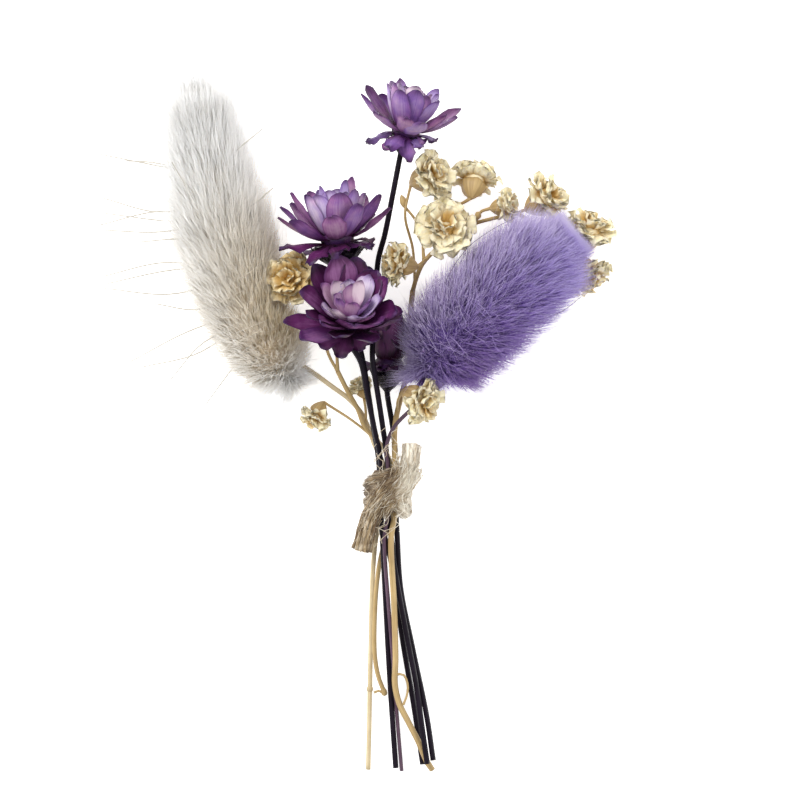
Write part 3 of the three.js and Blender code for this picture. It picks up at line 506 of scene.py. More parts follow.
def bell(floret):
    """A ribbed calyx under a floret."""
    profile = [(-1.0, 0.08), (-0.88, 0.2), (-0.7, 0.37), (-0.48, 0.5), (-0.28, 0.55), (-0.16, 0.46)]
    return turned(profile, floret.centre, floret.up, 20, 10, ribs=5, rib=0.09, tone=0.35, scale=floret.size)


def bud(foot, way, size):
    """A closed bud: a ribbed drop."""
    profile = [(-0.2, 0.15), (0.1, 0.35), (0.5, 0.52), (1.0, 0.5), (1.4, 0.32), (1.75, 0.06)]
    return turned(profile, np.asarray(foot, float), way, 15, 10, ribs=5, rib=0.07, tone=0.55, scale=size)


def twig(points, radius):
    """A thin twig, thicker at its two ends where it forks."""
    swell = lambda s: radius * (1 + 0.28 * (1 - blend(s, 0, 0.12)) + 0.2 * blend(s, 0.9, 1))
    return tube(points, swell, sides=7, spacing=0.9)


def bells(right):
    """The bells of the florets on one side of the tie."""
    return [bell(floret) for floret in FLORETS.values() if (floret.centre[0] > TIE_X) == right]


def right_spray():
    """The right-hand spray: its stem, forks, twigs, buds and bells."""
    fork = RIGHT_SPRAY_ROUTE[-1]
    elbow, bend, knee = (12.4, 29.6, 7.2), (16.4, 33.4, 7.0), (21.5, 36.6, 7.4)
    joint, side = (29.4, 38.4, 6.6), (12.4, 33.6, 6.6)
    twigs = [
        (BRANCH_RADIUS - 0.06, knee, (25.4, 37.6, 7.1), joint),
        (TWIG_RADIUS, joint, (30.2, 38.9, 6.2), foot_of("far_right")),
        (TWIG_RADIUS, joint, (34.5, 35.4, 4.6), (39.4, 32.2, 3.8), foot_of("behind_tail_upper")),
        (TWIG_RADIUS, (36.5, 34.1, 4.2), (39.6, 31.4, 4.2), foot_of("behind_tail_lower")),
        (TWIG_RADIUS, knee, (22.6, 38.6, 7.6), foot_of("small_right")),
        (TWIG_RADIUS, bend, (16.0, 34.2, 7.2), foot_of("front")),
        (TWIG_RADIUS, elbow, side, (15, 38.6, 6.6), (19.4, 40.2, 8.4), foot_of("upper_middle")),
        (TWIG_RADIUS, elbow, (12.6, 29.8, 9.6), foot_of("above_daisy")),
        (FINE_TWIG_RADIUS, (10.8, 26, 5.7), (10.4, 32, 6.6), (9, 38, 9), foot_of("upper_left")),
        (FINE_TWIG_RADIUS, (7.6, 2.5, 5.3), (7.7, 4.6, 8), foot_of("lower_right")),
        (FINE_TWIG_RADIUS, side, (10.8, 37.2, 8.6), (8.9, 39.6, 8.4)),
        (FINE_TWIG_RADIUS, knee, (22, 37.2, 8.2), (22.0, 37.6, 9.0)),
        (TENDRIL_RADIUS, (7.3, -45, 4.6), (8.7, -45, 4.8), (9.5, -46.9, 4.7), (9.3, -49, 4.5),
         (8.7, -50.5, 4.3)),
    ]
    return [
        tube(RIGHT_SPRAY_ROUTE, TAN_STEM_RADIUS, 12, 0.7, flutes=4, flute=0.06, twist=0.03),
        tube([fork, (11.2, 27.2, 6.2), elbow, bend, knee], BRANCH_RADIUS, 9),
        *[twig(points, radius) for radius, *points in twigs],
        bud((9.0, 39.5, 8.4), (-0.3, 0.9, 0.1), 1.3),
        bud((22.0, 37.4, 8.8), (0.1, 0.5, 0.8), 1.2),
        *bells(True),
    ]


def left_spray():
    """The left-hand spray: its stem, twigs, bud, cut knob and bells."""
    fork = LEFT_SPRAY_ROUTE[-1]
    knob = [(-0.7, 0.3), (-0.4, 0.56), (0.4, 0.56), (0.7, 0.24)]
    twigs = [
        (TWIG_RADIUS, fork, (-3.4, 13, 5.6), (-5, 18, 6.8), (-8, 23.6, 8.4), foot_of("left")),
        (TWIG_RADIUS, fork, (-4.6, 12.4, 5.6), (-5.4, 14.6, 5.8)),
        (FINE_TWIG_RADIUS, (2.4, -1.3, 4.4), (-1, 1.3, 5.5), foot_of("nodding")),
        (FINE_TWIG_RADIUS, (1.8, -0.4, 4.6), (1.9, 2.4, 3.4), foot_of("behind_stems")),
        (TENDRIL_RADIUS, (5.0, -48.5, 1.4), (4.2, -48.2, 1.3), (3.4, -48.5, 1.2)),
    ]
    return [
        tube(LEFT_SPRAY_ROUTE, BRANCH_RADIUS, 10, 0.8, flutes=3, flute=0.06),
        *[twig(points, radius) for radius, *points in twigs],
        bud((-5.4, 14.4, 5.8), (-0.3, 0.9, 0.2), 1.2),
        turned(knob, np.array(LEFT_SPRAY_ROUTE[0]), (0.3, -0.95, 0), 12, 8, tone=0.2),
        *bells(False),
    ]


# Everlasting daisies: rows as in the part, with more bracts in each

CALYX_ROWS, DISC_SPIKES = 4, 90
BRACT = {
    "tilt": 0, "twist": 0.25, "waves": 2.2, "folds": 5, "fold": 0.03, "ragged": 0.03, "tone": 0.3,
    "pink": 0.5, "shape": bract_width,
}
ROWS = dict(zip(("droop", "wide", "upright", "inner", "heart"), rows_of(
    BRACT,
    "count turn lean curl unrest rise uneven length width cup ripple fold ragged",
    (12, 12, 99, 30, 16, 0.6, 0.35, 6.4, 3.8, -0.2, 0.5, 0.08, 0.1),
    (11, 0, 74, -36, 9, 1.1, 0.14, 10.4, 4.5, 0.28, 0.14),
    (11, 18, 45, -36, 8, 1.6, 0.14, 10.0, 4.7, 0.32, 0.1),
    (8, 8, 26, -24, 7, 0.35, 0.14, 8.4, 4.3, 0.34, 0.1),
    (6, 20, 20, -26, 7, 0.7, 0.25, 5.8, 2.9, 0.34, 0.12),
)))


def bracts(kind, tone, pink, **facts):
    """A row of a kind in its own dye, with what else is its own."""
    return {**ROWS[kind], "tone": tone, "pink": pink, **facts}


DAISIES = [
    Flower(
        (9.0, 52.6, 11.2), (0.2, 0.93, 0.3), 0.86, bowl=0, route=DAISY_1_ROUTE, key=3,
        outer=[bracts("droop", 0.22, 0.5), bracts("wide", 0.36, 0.5), bracts("upright", 0.58, 0.4)],
        inner=[bracts("inner", 0.8, 0.6), bracts("heart", 0.6, 0.7)],
    ),
    Flower(
        (-3.1, 32.9, 13), (-0.12, 0.99, 0.1), 1.0, bowl=1, route=DAISY_2_ROUTE, key=71,
        outer=[
            bracts("droop", 0.05, 0.7, lean=92, curl=14, length=8.0, width=3.9, count=10),
            bracts("wide", 0.36, 0.7), bracts("upright", 0.55, 0.6),
        ],
        inner=[bracts("inner", 0.74, 0.4), bracts("heart", 0.7, 0.5)],
    ),
    Flower(
        (-0.8, 18.4, 16.5), (0.03, 0.74, 0.67), 0.95, bowl=0.6, route=DAISY_3_ROUTE, key=113,
        outer=[
            bracts("droop", 0.04, 0.8, length=5.4),
            bracts("wide", 0.1, 0.85, width=5.4, lean=84, curl=-28),
            bracts("upright", 0.08, 0.9, width=6.2, length=10.4, lean=57, curl=-24, tilt=13),
        ],
        inner=[
            bracts("inner", 0.72, 0.65, lean=60, curl=-38, length=7.0, count=10, rise=0.5, tilt=8),
            bracts("heart", 0.66, 0.6, lean=36, curl=-30, length=5.2, width=3.4, rise=1.0),
        ],
    ),
    # Daisy 4 lies behind daisy 3: the low tones of its bracts are partly painted shade and partly its own dark
    # dye.
    Flower(
        (6.0, 10.6, 5.4), (0.05, 0.99, 0.04), 0.9, bowl=0.5, route=DAISY_4_ROUTE, key=163,
        outer=[
            bracts("droop", 0.0, 0.8, length=4.6, lean=76, curl=10),
            bracts("upright", 0.04, 0.8, lean=38, curl=-46, length=11),
        ],
        inner=[bracts("inner", 0.4, 0.7, lean=20, curl=-22, count=7)],
    ),
]


def daisy_rooms():
    """Room that each daisy's bracts keep round the stems and florets next to them."""
    stems = along(DAISY_1_ROUTE, BLACK_STEM_RADIUS) + along(DAISY_2_ROUTE[7:], BLACK_STEM_RADIUS)
    stems += along(RIGHT_SPRAY_ROUTE[-7:], TAN_STEM_RADIUS)
    heads = sum((ball(floret.centre, floret.size) for floret in FLORETS.values()), [])
    return [heads, heads + stems, heads + stems + ball((-2.6, 29.3, 12.4), 2.0), stems]


def bract_rows(flower, rows, floor, root_out, rooms, thickness, key):
    """Rows of bracts whose roots stand root_out from the axis, each at its rise above a floor."""
    size, surfaces = flower.size, []
    for k, row in enumerate(rows):
        root = {"root_out": root_out * size, "root_height": (floor + row["rise"]) * size}
        facts = sized(row, size, seed=flower.key + key + k, **root)
        surfaces.append(petals(flower, facts, rooms, thickness))
    return surfaces


def waist(flower):
    """The knot that the bracts grow from, between the calyx and the disc."""
    profile = [(-1.15, 1.6), (-0.9, 2.3), (-0.2, 2.7), (0.7, 3.0), (1.4, 2.7), (2.2, 1.9)]
    return turned(profile, flower.centre, flower.up, 24, 12, ribs=11, rib=0.04, tone=0.0, scale=flower.size)


def stem_and_calyx(flower, thickness):
    """A black stem, its bowl or funnel, and rows of small scales on it."""
    size, bowl = flower.size, flower.bowl
    cup = [
        (-5.0, 0.55), (-4.5, 0.62 + 0.6 * bowl), (-3.9, 0.9 + 1.3 * bowl), (-3.0, 1.4 + 1.75 * bowl),
        (-2.2, 1.9 + 1.9 * bowl), (-1.5, 2.1 + 1.4 * bowl), (-1.0, 2.1 + 0.9 * bowl),
    ]
    route = [*flower.route, tuple(flower.point(-4.8 * size)), tuple(flower.point(-3.5 * size))]
    surfaces = [
        turned(cup, flower.centre, flower.up, 26, 12, scale=size),
        tube(route, BLACK_STEM_RADIUS, 12, 0.7, flutes=5, flute=0.07, twist=0.04),
    ]
    for k in range(CALYX_ROWS):
        height = -4.4 + 0.85 * k
        radius = np.interp(height, *zip(*cup))
        row = {
            **BRACT, "count": 9 + k, "turn": 20 * k, "lean": 24 + 16 * bowl, "curl": 14 - 8 * bowl,
            "unrest": 8, "uneven": 0.12, "length": 1.9, "width": 1.5, "cup": -0.12, "ripple": 0.2,
            "root_out": (radius - 0.1) * size, "root_height": height * size,
        }
        surfaces.append(petals(flower, sized(row, size, seed=flower.key + 500 + k), [], thickness, steps=5))
    return surfaces


def disc(flower):
    """The small disc: thin spikes on a dome, a golden turn apart."""
    size, i = flower.size, np.arange(DISC_SPIKES)
    far = 1.5 * size * np.sqrt((i + 0.5) / DISC_SPIKES)
    out = around(i * GOLDEN_TURN, flower.side, flower.front)
    root = flower.point(1.6 * size) + far[:, None] * out
    way = unit(flower.up + 0.35 * (far / size)[:, None] * out)
    length = (2.0 - 0.25 * far / size) * size
    middle = root[:, None] + way[:, None] * (length[:, None] * np.array([0, 0.7]))[..., None]
    tips = root + way * length[:, None]
    radius = np.array([[0.13, 0.16]]) * size
    zero = np.zeros((DISC_SPIKES, 3))
    mark = marks_of(0.2, 0.8, np.modf(i * 0.618)[0])
    dome = [(0.9, 1.7), (1.5, 1.75), (2.1, 1.3), (2.4, 0.4)]
    return [
        turned(dome, flower.centre, flower.up, 16, 8, tone=0.1, scale=size),
        spikes(middle, way, flower.side + 0.01, radius, tips, zero[:, None, None] + 0.5, zero + 1, mark),
    ]


# Bunny tails


class Tail:
    """A fur head: a spine, the fur's half width and lean along it, room kept round it, the seed and
    the share where its fur is cut in two pieces, and its long and curly hairs."""

    def __init__(self, spine, **facts):
        self.path = Path(spine)
        self.length = self.path.even(1.0)[1]
        self.__dict__.update(facts)

    def read(self, values, share):
        """A list of values along the spine, read off at shares of it."""
        return np.interp(share * (len(values) - 1), range(len(values)), values)

    def half_width(self, share):
        """The width read off along the spine, rounded at both ends by sqrt(1 - (1 - d / cap)^2)."""
        wide = self.read(self.half_widths, share)
        for left, cap in zip((share, 1 - share), self.caps):
            wide = wide * np.sqrt(1 - np.clip(1 - left * self.length / cap, 0, ROUNDED) ** 2)
        return wide

    def outward(self, share, turn):
        """The direction away from the spine at a turn round it."""
        return around(turn, *frames(self.path.way(share), UP))


BEHIND_DAISY_2, BEHIND_DAISY_3 = ball((-3.1, 33, 14), 10), ball((-0.5, 21.2, 17.5), 9)
WHITE_TAIL = Tail(
    [
        (-11.2, 8.0, 7.3), (-15.2, 12.8, 7.8), (-18.8, 19.0, 8.2), (-21.5, 26.3, 8.5), (-23.5, 33.5, 8.5),
        (-25.2, 40.7, 8.1), (-26.6, 47.9, 7.4), (-27.9, 55.1, 6.6), (-29.4, 62.9, 6.6),
    ],
    half_widths=[7.4, 7.8, 8.6, 9.2, 9.8, 9.8, 8.5, 7.0, 6.2],
    lean=[-36, 26, 44, 50, 54, 58, 62, 66, 72], caps=(5.0, 3.0), tufted=0.4,
    rooms=BEHIND_DAISY_2 + ball(FLORETS["floret_left"].centre, 4.2),
    cut=0.46, seed=5, long_hairs=(700, 21, 1.1, 1.5), curls=(170, 77, 1.1, 0.5),
)
VIOLET_TAIL = Tail(
    [
        (12.4, 9.6, 9.0), (15.4, 13.4, 9.2), (20.6, 18.4, 9.6), (26.2, 23.6, 10.6), (31.2, 28.0, 11.8),
        (35.6, 31.4, 12.8), (38.8, 34.0, 13.4),
    ],
    half_widths=[9.2, 10.4, 10.8, 10.6, 10.0, 9.0, 7.6],
    lean=[-44, 6, 34, 46, 52, 58, 64], caps=(6.5, 8.0), tufted=0.8,
    rooms=BEHIND_DAISY_3 + ball(FLORETS["floret_lower_right"].centre, 3.4) + along(RIGHT_SPRAY_ROUTE[-7:], 0.6),
    cut=0.5, seed=15, long_hairs=(500, 22, 1.08, 1.36), curls=(90, 78, 1.0, 0.45),
)


def hair_points(tail, share, turn, root, reach, lean, bend, swirl, steps, wave):
    """Points along hairs (count, steps, 3).

    Each hair leaves the spine's middle at its turn, root mm out. Its lean to the tail's way goes
    from lean - bend to lean + bend, and its turn drifts by swirl t^2 and a small wave.
    """
    t = np.linspace(0, 1, steps)[None]
    angle = (lean[:, None] + bend[:, None] * (2 * t - 1)) * DEG
    mean = (angle[:, 1:] + angle[:, :-1]) / 2
    length = reach / np.maximum(0.3, np.cos(mean).mean(1))
    ahead = np.maximum(1.4, (1 - share) * tail.length + 1.0) / np.maximum(0.1, np.sin(mean).mean(1))
    step = (np.minimum(length, ahead) / (steps - 1))[:, None]
    far, forward = summed(step * np.cos(mean), root[:, None]), summed(step * np.sin(mean))
    phi = turn[:, None] + swirl[:, None] * t**2 + wave[:, None] * np.sin(7 * t)
    points = tail.path.at(share)[:, None] + far[..., None] * tail.outward(share[:, None], phi)
    points = points + forward[..., None] * tail.path.way(share)[:, None]
    points[..., 2] = np.maximum(points[..., 2], LOWEST + 0.08 * (1 - t))
    return points


ACROSS_HAIRS = np.array([0.31, 0.22, 0.93])  # a direction that no hair lies along


def hairs(points, radius, grain, mark):
    """Thin three-sided hairs along points (count, steps, 3), tapering to a tip: radius (1 - t)^0.6."""
    t = np.linspace(0, 1, points.shape[1])[:-1]
    thick = radius[:, None] * (1 - t[None]) ** 0.6
    line, tips = points[:, :-1], points[:, -1]
    way = unit(tips - points[:, 0])
    return spikes(line, way, ACROSS_HAIRS, thick, tips, grain[:, :-1, None], grain[:, -1], mark)


TUFTS_ALONG, TUFTS_ROUND = 26, 11
ROOTS, BENDS, LEAST_REACH = (0.42, 0.72), (6, 24), 0.9  # shares of the width, degrees, mm


def fur(tail, count, seed, radius, low, high, full_low=0.74, full_high=1.14, unrest=9):
    """The hairs of a tail between two shares of its spine.

    Hairs are spread evenly with a jitter. Neighbours share slow waves of lean and turn and draw
    together into tufts towards their tips. A hair's tip reaches the width where it ends.
    """
    rng = np.random.default_rng(seed)
    share = low + (high - low) * (np.arange(count) + rng.random(count)) / count
    turn = 2 * math.pi * rng.random(count)
    half = tail.half_width(share)
    waves = np.sin(31 * share + 2 * turn) + np.sin(53 * share - 3 * turn + 1.7)
    row = np.floor(share * TUFTS_ALONG)
    odd = 0.5 * (row % 2)
    place = np.floor(turn * TUFTS_ROUND / (2 * math.pi) + odd)
    middle_turn = (place + 0.5 - odd) * 2 * math.pi / TUFTS_ROUND
    tuft = np.modf(np.abs(np.sin(row * 12.9898 + place * 78.233)) * 43758.5453)[0]
    pull = tail.tufted * (0.26 * (middle_turn - turn) + 0.1 * (tuft - 0.5))
    pull = pull + 0.16 * rng.uniform(-1, 1, count)
    lean = tail.read(tail.lean, share) + tail.tufted * (4 * waves + 8 * (tuft - 0.5))
    lean = lean + unrest * rng.uniform(-1, 1, count)
    inner = rng.uniform(*ROOTS, count) * (0.1 + 0.9 * blend(np.minimum(share, 1 - share), 0, 0.1))
    slope, full = np.tan(np.clip(lean, -50, 72) * DEG), half
    for _ in range(6):
        ahead = (full - inner * np.minimum(half, full)) * slope / tail.length
        full = (full + tail.half_width(np.clip(share + ahead, 0, 1))) / 2
    root = np.minimum(half, full) * inner
    reach = np.maximum(full * rng.uniform(full_low, full_high, count) - root, LEAST_REACH)
    bend = rng.uniform(*BENDS, count)
    wave = 0.05 * rng.uniform(-1, 1, count)
    points = hair_points(tail, share, turn, root, reach, lean, bend, pull, 3, wave)
    kept = ~crowded(points[:, 1:], tail.rooms, 0.1)
    tint = (1 - 0.5 * tail.tufted) * rng.random(count) + 0.5 * tail.tufted * tuft
    grain = marks_of(share[:, None], np.linspace(0, 1, 3)[None], tint[:, None])
    thick = radius * rng.uniform(0.7, 1.25, count)
    return hairs(points[kept], thick[kept], grain[kept], tail.outward(share, turn)[kept])


def fur_core(tail):
    """The slim solid core under the fur: rings of 0.56 times the fur's half width, a little uneven. It takes
    the fur's root colour, which here also stands for painted shade deep in the fur.
    """
    share = np.linspace(0.03, 0.95, 26)
    close = np.sqrt(np.clip(np.minimum(share - 0.02, 0.97 - share) / 0.09, 0.03, 1))
    turn = 2 * math.pi * np.arange(18) / 18
    uneven = 1 + 0.06 * np.sin(5 * turn + 40 * share[:, None])
    uneven = uneven + 0.04 * np.sin(9 * turn - 71 * share[:, None])
    wide = (0.56 * tail.half_width(share) * close)[:, None] * uneven
    out = tail.outward(share[:, None], turn[None])
    grid = tail.path.at(share)[:, None] + wide[..., None] * out
    return skin(grid[None], marks_of(share[:, None], 0.0, 0.4 + 0 * turn)[None], out[None])


# Long awns of the white tail: share of the spine, tip
WHITE_AWNS = [
    (0.70, (-45.9, 49.0, 7.6)), (0.68, (-45.6, 48.0, 5.0)), (0.62, (-45.6, 41.2, 5.8)),
    (0.57, (-45.8, 36.2, 9.6)), (0.55, (-45.7, 38.6, 4.0)), (0.56, (-45.8, 35.2, 12.0)),
    (0.40, (-45.7, 27.0, 6.4)), (0.38, (-45.2, 24.8, 9.2)), (0.42, (-45.0, 25.8, 3.6)),
    (0.28, (-40.6, 11.6, 6.6)), (0.26, (-38.8, 10.6, 4.4)), (0.24, (-33.2, 8.4, 8.6)),
    (0.66, (-16.4, 53.4, 12.5)), (0.50, (-32.5, 47.0, 17.5)), (0.60, (-14.6, 42.6, 14.0)),
    (0.34, (-36.0, 22.0, 12.0)), (0.46, (-38.2, 33.0, 13.5)), (0.20, (-27.0, 4.0, 4.5)),
]
# Dark hairs of the violet tail
VIOLET_ARCS = [
    [(15.2, 22.0, 13.0), (16.7, 26.8, 14.2), (20.2, 31.9, 14.6), (24.6, 35.2, 13.6), (28.6, 37.3, 12.0)],
    [(33.0, 19.0, 13.0), (37.0, 20.5, 12.6), (40.6, 23.2, 11.8)],
]


def awns(tail, places, radius):
    """Long hairs from the spine to their tips, each with its own sag in the middle."""
    surfaces = []
    for i, (share, tip) in enumerate(places):
        start, end = tail.path.at(np.array([share]))[0], np.asarray(tip, float)
        sag = 2.2 * math.sin(2.4 * i)
        middle = (start + end) / 2 + sag * unit(np.cross(end - start, UP)) + 0.4 * abs(sag) * UP
        surfaces.append(tube([start, middle, end], lambda s: radius * (1 - 0.5 * s), 4, 1.6, tone=0.2))
    return surfaces


def curly_hairs(tail, count, seed, radius, low, high):
    """Loose pale hairs that curl over the fur near the tail's base."""
    rng = np.random.default_rng(seed)
    share = low + (high - low) * rng.random(count)
    turn = rng.uniform(0.1, 0.9, count) * math.pi
    half = tail.half_width(share)
    reach = half * rng.uniform(0.22, 0.42, count)
    lean, swirl, bend = (rng.uniform(a, b, count) for a, b in ((-40, 50), (-1.1, 1.1), (-60, 60)))
    points = hair_points(tail, share, turn, 0.7 * half, reach, lean, bend, swirl, 9, 0 * share)
    grain = marks_of(share[:, None], np.linspace(0.6, 1, 9)[None], 1.0)
    return hairs(points, np.full(count, radius), grain, tail.outward(share, turn))


# Jute tie

FRONT_STRAND = [
    (10.2, -3.4, 6.0), (9.9, -6.6, 6.9), (8.6, -9.6, 8.4), (6.0, -12.2, 8.9), (3.6, -15.0, 8.0),
    (2.2, -18.6, 6.6), (1.3, -22.4, 5.6),
]
LOBE_STRAND = [(5.4, -12.6, 8.2), (7.6, -14.0, 7.6), (8.9, -15.4, 5.8), (8.4, -14.6, 3.4)]
TURN_RADIUS, TURN_THICKNESS = 3.3, 1.05
WINDING_TURNS = 4


def winding():
    """The turns round the stems: a helix, tilted so that it stands higher at the right."""
    turn = np.linspace(-0.2, WINDING_TURNS * 2 * math.pi, 12 * WINDING_TURNS + 1)
    rise = -15.0 + 6.4 * (turn / turn[-1]) + 1.3 * np.cos(turn - 0.5)
    return np.stack([TIE_X + TURN_RADIUS * np.cos(turn), rise, TIE_Z + TURN_RADIUS * np.sin(turn)], -1)


def fibres(points, wide, thick, count, seed, radius, loose, reference):
    """Fibres that lie along a strand: each follows the strand at its own angle for some
    millimetres and lifts off towards its ends, loose ones much more."""
    rng = np.random.default_rng(seed)
    path = Path(points)
    fine, length = path.even(0.4)
    t = np.linspace(0, 1, 8)[None]
    run = rng.uniform(0.12, 0.4, (count, 1)) * min(length, 18)
    start = rng.uniform(-0.02, 1.0, (count, 1)) * (length - 0.6 * run)
    place = np.clip((start + run * t) / length, 0, 1)
    share = np.interp(place, np.linspace(0, 1, len(fine)), fine)
    angle = rng.uniform(0, 2 * math.pi, (count, 1)) + rng.uniform(-0.9, 0.9, (count, 1)) * t
    lift = 1.02 + 0.1 * rng.random((count, 1))
    lift = lift + loose * rng.random((count, 1)) ** 3 * np.abs(2 * t - 0.8) ** 2
    side, front = frames(path.way(share), reference)
    curl = loose * 0.5 * np.sin(5 * t + rng.uniform(0, 6, (count, 1)))
    points = path.at(share) + (lift * wide * np.cos(angle))[..., None] * side
    points = points + ((lift * thick * np.sin(angle)) + curl * thick)[..., None] * front
    points[..., 2] = np.maximum(points[..., 2], LOWEST)
    grain = marks_of(0.5, t, 0.5 + 0 * start)
    mark = marks_of(rng.random(count), 0.5, rng.random(count))
    return hairs(points, radius * rng.uniform(0.6, 1.3, count), grain, mark)


def cords(points, wide, count, radius, seed):
    """Cords side by side along a strand, each on its own wavering line across it."""
    rng = np.random.default_rng(seed)
    path, share = Path(points), np.linspace(0, 1, 7)
    side, front = frames(path.way(share), UP)
    surfaces = []
    for place in 2 * np.arange(count) / (count - 1) - 1:
        across = wide * place * (0.8 + 0.2 * share) + 0.14 * rng.uniform(-1, 1, 7)
        lift = 1.25 * math.sqrt(1.1 - place**2) - 0.1 + 0.14 * rng.uniform(-1, 1, 7)
        line = path.at(share) + across[:, None] * side + lift[:, None] * front
        tone = rng.uniform(0.2, 0.8)
        surfaces.append(tube(line, radius, 8, 0.6, flutes=3, flute=0.12, twist=2.0, tone=tone))
    return surfaces


def loose_fibres(count, seed, radius):
    """Long stray fibres round the tie, each an arch between two points near it."""
    rng = np.random.default_rng(seed)
    surfaces = []
    for start, way, arch, length in zip(
        rng.uniform((3.0, -20.0, 7.6), (9.6, -3.0, 10.4), (count, 3)), rng.uniform(-1, 1, (count, 3)),
        rng.uniform(-1, 1, (count, 3)), rng.uniform(2.0, 6.5, count),
    ):
        step = unit(way * (1.0, 1.5, 0.18)) * length
        early = start + 0.3 * step + arch * (0.3, 0.3, 0.1) * length
        late = start + 0.75 * step + arch[::-1] * (0.25, 0.25, 0.1) * length
        surfaces.append(tube([start, early, late, start + step], radius, 4, 0.7, tone=0.9))
    return surfaces


def front_width(share):
    """Half width of the front strand: it swells past its start, and a little at its end."""
    swell = 0.8 * blend(share, 0.12, 0.42) * (1 - blend(share, 0.5, 0.75))
    return 1.5 + 0.2 * blend(share, 0.75, 1) + swell


def tie(radius):
    """The wound turns, the strand across the front with its two cut ends, and the lobe."""
    turns = winding()
    sleeve = [(-4.0, 2.5), (-3.0, 3.1), (2.6, 3.0), (3.6, 2.45)]
    surfaces = [
        tube(turns, TURN_THICKNESS, 14, 0.5, reference=ALONG, flutes=5, flute=0.1, twist=1.2, tone=0.4),
        tube(FRONT_STRAND, front_width, 30, 0.4, depth=1.3, flutes=9, flute=0.07, twist=0.12, tone=0.5),
        tube(LOBE_STRAND, 1.2, 24, 0.4, depth=1.1, flutes=7, flute=0.08, twist=0.2, tone=0.6),
        turned(sleeve, np.array([TIE_X, -11.6, TIE_Z]), ALONG, 28, 14, ribs=9, rib=0.04, tone=0.1),
    ]
    for k, (points, wide, thick, count, loose, reference) in enumerate([
        (turns, 1.05, 1.05, 1100, 0.5, ALONG), (FRONT_STRAND, 1.5, 1.3, 900, 0.4, UP),
        (FRONT_STRAND[1:5], 2.3, 1.35, 500, 0.6, UP), (LOBE_STRAND, 1.2, 1.1, 260, 0.4, UP),
    ]):
        surfaces.append(fibres(points, wide, thick, count, 40 + k, radius, loose, reference))
    surfaces += cords(FRONT_STRAND[3:], 1.6, 6, 0.36, 61) + cords(FRONT_STRAND[2::-1], 1.35, 5, 0.34, 62)
    return surfaces + loose_fibres(40, 58, 0.75 * radius)


# Finishes: lengths in metres

SOFT_DEPTH = 0.0004  # how deep light goes into fur and cream petals

class Socket:
    """A node's output. Arithmetic on it adds Math nodes, with numbers on either side."""

    def __init__(self, finish, output):
        self.finish = finish
        self.output = output

    def maths(self, operation, *values):
        return self.finish.node("ShaderNodeMath", {"operation": operation}, dict(enumerate(values)))

    def __add__(self, other):
        return self.maths("ADD", self, other)

    def __sub__(self, other):
        return self.maths("SUBTRACT", self, other)

    def __rsub__(self, other):
        return self.maths("SUBTRACT", other, self)

    def __mul__(self, other):
        return self.maths("MULTIPLY", self, other)

    def __pow__(self, other):
        return self.maths("POWER", self, other)

    __radd__ = __add__
    __rmul__ = __mul__


class Finish:
    """A material built round one Principled shader."""

    def __init__(self, name, **constants):
        self.material = bpy.data.materials.new(name)
        self.material.use_nodes = True
        self.tree = self.material.node_tree
        self.shader = self.tree.nodes["Principled BSDF"]
        for label, value in constants.items():
            self.shader.inputs[label.replace("_", " ").title().replace("Ior", "IOR")].default_value = value

    def node(self, kind, settings=None, sockets=None, output=0):
        """Adds a node: its settings first, a ramp's stops among them, then its sockets."""
        made = self.tree.nodes.new(kind)
        for label, value in (settings or {}).items():
            if label == "stops":
                while len(made.color_ramp.elements) < len(value):
                    made.color_ramp.elements.new(0.5)
                for stop, (place, colour) in zip(made.color_ramp.elements, value):
                    stop.position, stop.color = place, (*colour, 1)
            else:
                setattr(made, label, value)
        for label, value in (sockets or {}).items():
            self.feed(made.inputs[label], value)
        return Socket(self, made.outputs[output])

    def feed(self, target, value):
        """Links a socket, or sets a constant."""
        if isinstance(value, Socket):
            self.tree.links.new(value.output, target)
        elif hasattr(value, "__len__") and len(value) == 3 and len(target.default_value) == 4:
            target.default_value = (*value, 1)
        else:
            target.default_value = value

    def attribute(self, name):
        return self.node("ShaderNodeAttribute", {"attribute_name": name}, output="Vector")

    def split(self, name):
        """The three numbers of a mesh attribute."""
        parts = self.node("ShaderNodeSeparateXYZ", None, {0: self.attribute(name)})
        return [Socket(self, parts.output.node.outputs[i]) for i in range(3)]

    def mix(self, factor, first, second, blend_type="MIX"):
        settings = {"data_type": "RGBA", "blend_type": blend_type}
        return self.node("ShaderNodeMix", settings, {0: factor, 6: first, 7: second}, output=2)

    def ramp(self, factor, stops):
        return self.node("ShaderNodeValToRGB", {"stops": stops}, {0: factor})

    def step(self, value, low, high):
        """A smooth step from 0 at low to 1 at high."""
        sockets = {"Value": value, "From Min": low, "From Max": high, "To Min": 0.0, "To Max": 1.0}
        return self.node("ShaderNodeMapRange", {"interpolation_type": "SMOOTHSTEP"}, sockets)

    def noise(self, vector, scale, detail=3.0, roughness=0.55):
        """Noise over a vector or over three sockets."""
        if isinstance(vector, tuple):
            vector = self.node("ShaderNodeCombineXYZ", None, dict(enumerate(vector)))
        sockets = {"Vector": vector, "Scale": scale, "Detail": detail, "Roughness": roughness}
        return self.node("ShaderNodeTexNoise", None, sockets)

    def place(self):
        return self.node("ShaderNodeTexCoord", output="Object")

    def finished(self, colour, rough=None, bump=None, distance=0.0, strength=1.0):
        """The material, with its colour, roughness and bump height fed to the shader."""
        self.feed(self.shader.inputs["Base Color"], colour)
        if rough:
            self.feed(self.shader.inputs["Roughness"], rough)
        if bump:
            sockets = {"Height": bump, "Distance": distance, "Strength": strength}
            self.feed(self.shader.inputs["Normal"], self.node("ShaderNodeBump", None, sockets))
        return self.material


